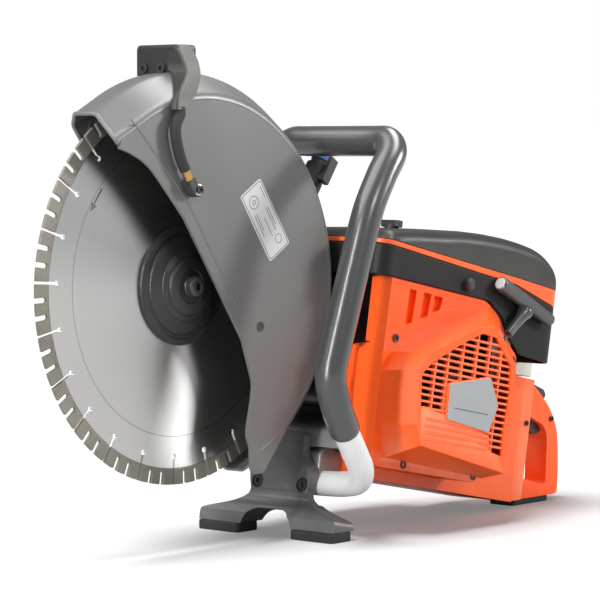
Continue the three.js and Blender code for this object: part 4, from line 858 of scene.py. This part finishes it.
def dome():
    """Top cover: walls up from the seam, a round shoulder, and a crown drawn in to the spine."""
    rings = [[(p.x, p.y, along_line(UPPER_SEAM, p.y) + 0.5) for p in perimeter(inset)]
             for inset in (COVER_WALL, 0)]
    for k in range(SHOULDER_STEPS + 1):
        turn = math.pi / 2 * k / SHOULDER_STEPS
        drop = SHOULDER * (1 - math.sin(turn))
        rings.append([(p.x, p.y, max(smooth_top(p.y) - drop, along_line(UPPER_SEAM, p.y) + 1))
                      for p in perimeter(SHOULDER * (1 - math.cos(turn)))])
    middle = (COVER["left"] + COVER["right"]) / 2
    front, rear = COVER["front"] + SPINE_END, COVER["rear"] - SPINE_END
    for k in range(1, CROWN_STEPS):
        share = k / CROWN_STEPS
        ring = []
        for p in perimeter(SHOULDER):
            y = p.y + (min(max(p.y, front), rear) - p.y) * share
            ring.append((p.x + (middle - p.x) * share, y, smooth_top(y) + CROWN_RISE * share))
        rings.append(ring)
    return loft(rings)


def cover_pieces():
    on_body("top_cover_shell", dome(), "cover", replaces=["top_cover"])
    on_body("cover_stripe", wall_band(LOWER_SEAM, UPPER_SEAM), bevel=0.5, replaces=["cover_band"])
    on_body("cover_side", wall_band(SKIRT, LOWER_SEAM, gap=0.7), "side", bevel=0.9, segments=3,
            replaces=["side_cover"])


# ---- starter cover
STARTER = [(-97, 105.5, 3), (-96, 45), (-112, 38), (-112, 2, 8), (-104, -32), (-84, -67, 8),
           (78, -67, 8), (86, -42), (118, 50, 5), (118, 60, 5), (96, 75, 6), (84, 92, 8), (60, 105.5, 8)]
RIDGE, COVER_FACE, BULGE_X, OPEN_EDGE = -87.0, 92.0, 128.0, 57.5
NOSE = {"edge": 77, "rear": -72, "foot": -38}
FACE_SKIN, SLOPE_SKIN, BULGE_SKIN = 7, 4, 3
BULGE_MIDDLE = Vector((0, 10))
BULGE_BASE = [(-84.3, 20), (-73.5, 39), (20, 80.6), (67, 101), (80, 92), (86, 80), (92, 60), (93, 20),
              (90, -20), (84, -62), (-66, -58), (-84.3, -30)]
BULGE_FACE = [(-76, 24), (-63, 41), (7, 74), (30, 76), (42, 70), (52, 60), (70, 47), (72, 21),
              (68.5, -17), (71, -56), (-62, -44), (-71, -26)]
WINDOW = [(-72, 20), (-59, 32), (-16, 56), (12, 69), (35, 68), (47, 57), (62, 45), (65, 21), (62, -17),
          (64, -41), (44, -38), (40, -24), (-30, -12), (-68, -9)]
SLOTS = [[(-60, 65.5), (-50.5, 68.5), (-48.5, 99), (-59, 99)],
         [(-39, 74), (-28.5, 77.5), (-26, 99), (-38, 99)],
         [(-23, 82), (-11, 86), (-8, 98.5), (-22, 98.5)]]
SLOT_DEPTH, SLOT_SLANT = 5, Vector((1.5, 0))
BAR_COUNT, LOWEST_BAR, BAR_PITCH, BAR_HEIGHT, BAR_OVERLAP = 17, -34, 5.9, 2.2, 0.5
UPRIGHTS, UPRIGHT_WIDTH = (-52, -34, -13, 8, 27, 46), 2.1
NAME_PLATE = [(-32, 17, 2), (31, 31, 3), (48.5, 6, 3), (38, -22, 3), (-30, -17, 2)]


def split_at(points, y):
    """A closed outline with its crossings of the line at y, then its front and its rear part."""
    whole, front, rear = [], [], []
    for a, b in zip(points, points[1:] + points[:1]):
        whole.append(a)
        (front if a.x < y else rear).append(a)
        if (a.x - y) * (b.x - y) < 0:
            cross = a.lerp(b, (y - a.x) / (b.x - a.x))
            for part in (whole, front, rear):
                part.append(cross)
    return whole, front, rear


def shrunk(points, share, middle=Vector((0, 0))):
    return [middle + (p - middle) * share for p in points]


def crossings(points, value, axis):
    """Where a closed outline crosses the line on which this axis has this value."""
    hits = []
    for a, b in zip(points, points[1:] + points[:1]):
        if (a[axis] - value) * (b[axis] - value) < 0:
            share = (value - a[axis]) / (b[axis] - a[axis])
            hits.append(a[1 - axis] + (b[1 - axis] - a[1 - axis]) * share)
    return sorted(hits)


class Shell:
    """One mesh built up from rings of outline points."""

    def __init__(self):
        self.verts, self.faces = [], []

    def ring(self, points, x):
        """New vertices at x, or at x(point) where x is a function."""
        start = len(self.verts)
        self.verts += [(x(p) if callable(x) else x, p[0], p[1]) for p in points]
        return list(range(start, start + len(points)))

    def bridge(self, a, b):
        for i in range(len(a)):
            j = (i + 1) % len(a)
            self.faces.append((a[i], a[j], b[j], b[i]))

    def fill(self, *rings):
        """Face inside the first ring, with the other rings as holes."""
        flat = [[Vector((0, *self.verts[i][1:])) for i in ring] for ring in rings]
        index = [i for ring in rings for i in ring]
        self.faces += [tuple(index[k] for k in t) for t in geometry.tessellate_polygon(flat)]


def open_edge(p):
    """The cover's edge on the machine, further out at the upper part of the nose."""
    return NOSE["edge"] if p[0] < NOSE["rear"] and p[1] > NOSE["foot"] else OPEN_EDGE


def sloped(p):
    """The cover's face, which falls away in front of the ridge."""
    return COVER_FACE - max(RIDGE - p[0], 0)


def starter_shell():
    """Hollow cover: rim and face, slots, bulge with the grille's window, then the inside."""
    whole, nose, flat_part = split_at(rounded(STARTER, 5), RIDGE)
    base, top, opening = ([Vector(p) for p in line] for line in (BULGE_BASE, BULGE_FACE, WINDOW))
    slots = [rounded([(*p, 1) for p in slot], 3) for slot in SLOTS]
    shell = Shell()
    ring, bridge, fill = shell.ring, shell.bridge, shell.fill
    back, front = ring(whole, open_edge), ring(whole, sloped)
    bridge(back, front)
    fill(ring(nose, sloped))
    fill(*[ring(line, COVER_FACE) for line in (flat_part, base, *slots)])
    for slot in slots:
        lip = ring(slot, COVER_FACE)
        floor = ring([p + SLOT_SLANT for p in slot], COVER_FACE - SLOT_DEPTH)
        bridge(lip, floor)
        fill(floor)
    bridge(ring(base, COVER_FACE), ring(top, BULGE_X))
    fill(ring(top, BULGE_X), ring(opening, BULGE_X))
    sunk = ring(opening, BULGE_X - BULGE_SKIN)
    bridge(ring(opening, BULGE_X), sunk)
    within = shrunk(whole, 0.97)
    inside = ring(within, open_edge)
    deep = ring(within, lambda p: min(COVER_FACE - FACE_SKIN, sloped(p) - SLOPE_SKIN))
    bridge(back, inside)
    bridge(inside, deep)
    base_in, top_in = (shrunk(line, 0.94, BULGE_MIDDLE) for line in (base, top))
    fill(deep, ring(base_in, COVER_FACE - FACE_SKIN))
    bridge(ring(base_in, COVER_FACE - FACE_SKIN), ring(top_in, BULGE_X - BULGE_SKIN))
    fill(ring(top_in, BULGE_X - BULGE_SKIN), sunk)
    return shell.verts, shell.faces


def grille():
    """Level bars across the window, and uprights behind them."""
    opening = [Vector(p) for p in WINDOW]
    bars = []
    for i in range(BAR_COUNT):
        z = LOWEST_BAR + i * BAR_PITCH
        reach = crossings(opening, z + BAR_HEIGHT / 2, 1)
        for y0, y1 in zip(reach[::2], reach[1::2]):
            bars.append(brick(BULGE_X - 6, y0 - BAR_OVERLAP, z,
                              BULGE_X - 0.8, y1 + BAR_OVERLAP, z + BAR_HEIGHT))
    for y in UPRIGHTS:
        reach = crossings(opening, y, 0)
        bars.append(brick(BULGE_X - 5.5, y, reach[0] - BAR_OVERLAP,
                          BULGE_X - 1.2, y + UPRIGHT_WIDTH, reach[-1] + BAR_OVERLAP))
    return join(*bars)


def starter_pieces():
    on_body("starter_shell", starter_shell(), bevel=1.5, segments=4, angle=16,
            replaces=["starter_cover"], flat=True)
    on_body("grille_bars", grille(), bevel=0.35, replaces=["air_grille"], weld=False)
    closed = [brick(BULGE_X - 0.3, -60 + 0.3 * k, z, BULGE_X + 0.7, 38.5 - 0.2 * k, z + 3.4)
              for k, z in enumerate((-20.5, -26.4, -32.3, -38.2))]
    on_body("closed_louvres", join(*closed), bevel=0.6, segments=3)
    back = plate(rounded(NAME_PLATE, 5), BULGE_X - BULGE_SKIN, BULGE_X + 1.0)
    on_body("name_plate_back", back, bevel=0.6, segments=3, flat=True)
    inset = shrunk([Vector(p[:2]) for p in NAME_PLATE], 0.955, Vector((8, 5)))
    front = plate(rounded([(*p, 2) for p in inset], 5), BULGE_X + 0.4, BULGE_X + 1.5)
    on_body("name_plate", front, "plate", bevel=0.3, flat=True)
    rule = brick(BULGE_X + 1.4, -20, -5.2, BULGE_X + 1.62, 32, -4.2)
    on_body("name_plate_rule", rule, "ink")
    # Black plate behind the grille's window: a fan shroud, and painted shade for the dark inside of the
    # cover.
    shroud_shade_plate = shrunk([Vector(p) for p in BULGE_BASE], 0.9, BULGE_MIDDLE)
    on_body("fan_shroud", plate(shroud_shade_plate, COVER_FACE - 5, COVER_FACE - 3, holes=[disc_points(36, 48)]),
            "black", bevel=0.5)


# ---- pull handle and its rope
PULL_X, GUIDE, GRIP, PULL_WAY = 101.0, Vector((84, 74)), Vector((110, 112)), Vector((0.683, 0.73))
STEM = [(0, 4.4), (8, 4.6), (16, 4.9), (22, 5.3), (27, 5.9), (31, 6.8), (34, 7.9), (37, 7.0)]
BAR = [(-46, 0.01), (-46, 6.4), (-44.6, 7.3), (-20, 7.2), (0, 6.9), (44, 6.2), (45.6, 5.2), (46, 4),
       (46, 0.01)]
CAP = [(-46.8, 0.01), (-46.8, 4.8), (-46.3, 5.6), (-45.5, 5.6), (-45.5, 0.01)]


def facing(direction):
    """Turn from +X to this direction."""
    return Vector((1, 0, 0)).rotation_difference(Vector(direction)).to_matrix().to_4x4()


def pull_pieces():
    """Bar, stem and end cap, and the rope stretched behind them."""
    place = Matrix.Translation((PULL_X, *GRIP)) @ facing((0, *Vector((87, -23)).normalized()))
    on_pull("pull_bar", moved(lathe_x(BAR, 40), place), bevel=0.6, replaces=["pull_handle"])
    start = GUIDE + PULL_WAY * 5
    stem = tube([Vector((PULL_X, *(start + PULL_WAY * t))) for t, _ in STEM],
                [radius for _, radius in STEM], 32)
    on_pull("pull_stem", stem, bevel=0.6)
    rope_line = [Vector((PULL_X, *(GUIDE + PULL_WAY * (0.4 * k - 9)))) for k in range(45)]
    rope = piece("pull_rope", tube(rope_line, 1.9, 12), AT_BODY, None, "black")
    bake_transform(rope)
    on_pull("pull_cap", moved(lathe_x(CAP, 32), place), "label", bevel=0.3)


# ---- screws and stand bracket
SCREWS = {  # matrix, way they face, head radius and places
    "cover_screw": (AT_BODY, (1, 0, 0), 4.0, [(92.2, -72, 51.3), (73, -106, 2), (91.5, -38, -61.5),
                                              (91.5, 70.5, -61), (91.5, 112, 55)]),
    "stand_bolt": (AT_STAND, (0, -1, 0), 5.4, [(-27, 15.4, 51), (27, 15.4, 51)]),
    "handle_screw": (AT_BODY, (1, 0, 0), 2.6, [(49, 195, 44), (54.3, 199, 2), (48.4, 249, 12)]),
}
BRACKET = [(-91, -88, 3), (-57.5, -88, 3), (-57.5, -57.5, 6), (-80, -54, 4), (-91, -60, 4)]
LOBES, STAR_POINTS = 6, 24


def screw(name, where, matrix, body, direction, radius):
    """Screw with a round flat head and a six-lobed hole."""
    star = []
    for i in range(STAR_POINTS):
        angle = 2 * math.pi * i / STAR_POINTS
        star.append(polar(radius * (0.52 + 0.09 * math.cos(LOBES * angle)), angle))
    head = join(plate(disc_points(radius, 28), -1.0, 1.6, holes=[star]), plate(star, -1.0, -0.2))
    piece(name, moved(head, Matrix.Translation(where) @ facing(direction)), matrix, body, "dark_steel",
          bevel=0.35)


def screw_pieces():
    for name, (matrix, direction, radius, places) in SCREWS.items():
        for i, where in enumerate(places):
            screw(f"{name}_{i + 1}", where, matrix, "frame", direction, radius)
    on_body("stand_bracket", plate(rounded(BRACKET, 5), 5.5, 36.5), "casting", bevel=1.2, segments=3,
            flat=True)


# ---- pieces kept from the CAD
KEPT = {  # for each look, the width of each piece's soft edges
    "dark_steel": {"inner_flange": 0.5, "arbor_bolt": 0.5, "clutch_hub": 0.5, "muffler": 1.5},
    "steel": {"spindle_shaft": 0.3, "spindle_bearing_left": 0.4, "spindle_bearing_right": 0.4,
              "crankshaft_left": 0.5, "crankshaft_right": 0.5, "crank_pin": 0.3,
              "connecting_rod": 0.5, "recoil_spring": 0.3, "clutch_drum": 0.5},
    "casting": {"blade_pulley": 0.4, "cutting_arm": 1.6, "piston": 0.4, "crankcase_right": 1.2,
                "crankcase_left": 1.2, "cylinder": 0.5, "flywheel": 0.5, "carburettor": 1.0},
    "black": {"belt_guard": 2.5, "spray_nozzle": 1.0, "starter_pulley": 0.4, "starter_rope": 0.0,
              "cover_knob": 0.8, "decompression_valve": 0.6, "fuel_cap": 1.2,
              "throttle_trigger": 1.0, "throttle_lockout": 1.0, "water_valve": 0.8,
              "water_valve_lever": 0.8},
    "rubber": {"drive_belt": 0.6, "front_foot_left": 1.5, "front_foot_right": 1.5, "rear_foot": 1.5},
    "natural": {"spark_plug": 0.4, "av_mount_rear": 1.0},
    "blue": {"choke_lever": 0.8, "water_connector": 0.6},
    "orange": {"tank_housing": 3.0, "rear_handle": 4.0},
    "brass": {"hose_fitting": 0.4},
    "stand": {"front_stand": 1.8},
    "paper": {"air_filter": 2.0},
    "sleeve": {"stop_switch": 0.6},
}
WELD_KEPT, FLAT_KEPT = 1e-5, 1.0 * RAD


def finish_kept_node(obj, look, width):
    obj.data.materials.clear()
    obj.data.materials.append(LOOK[look])
    for face in obj.data.polygons:
        face.use_smooth = True
        face.material_index = 0
    weld = obj.modifiers.new("weld", "WELD")
    weld.merge_threshold = WELD_KEPT
    flat = obj.modifiers.new("flat_faces", "DECIMATE")
    flat.decimate_type, flat.angle_limit = "DISSOLVE", FLAT_KEPT
    if width:
        soften(obj, width, angle=26)


add_camera()
add_world()
add_lights(add_floor())
bpy.context.scene.view_settings.view_transform = "Standard"
blade_pieces()
guard_pieces()
handle_pieces()
hose_pieces()
cover_pieces()
starter_pieces()
pull_pieces()
grip_pieces()
screw_pieces()
for look, widths in KEPT.items():
    for name, width in widths.items():
        finish_kept_node(NODES[name], look, width)
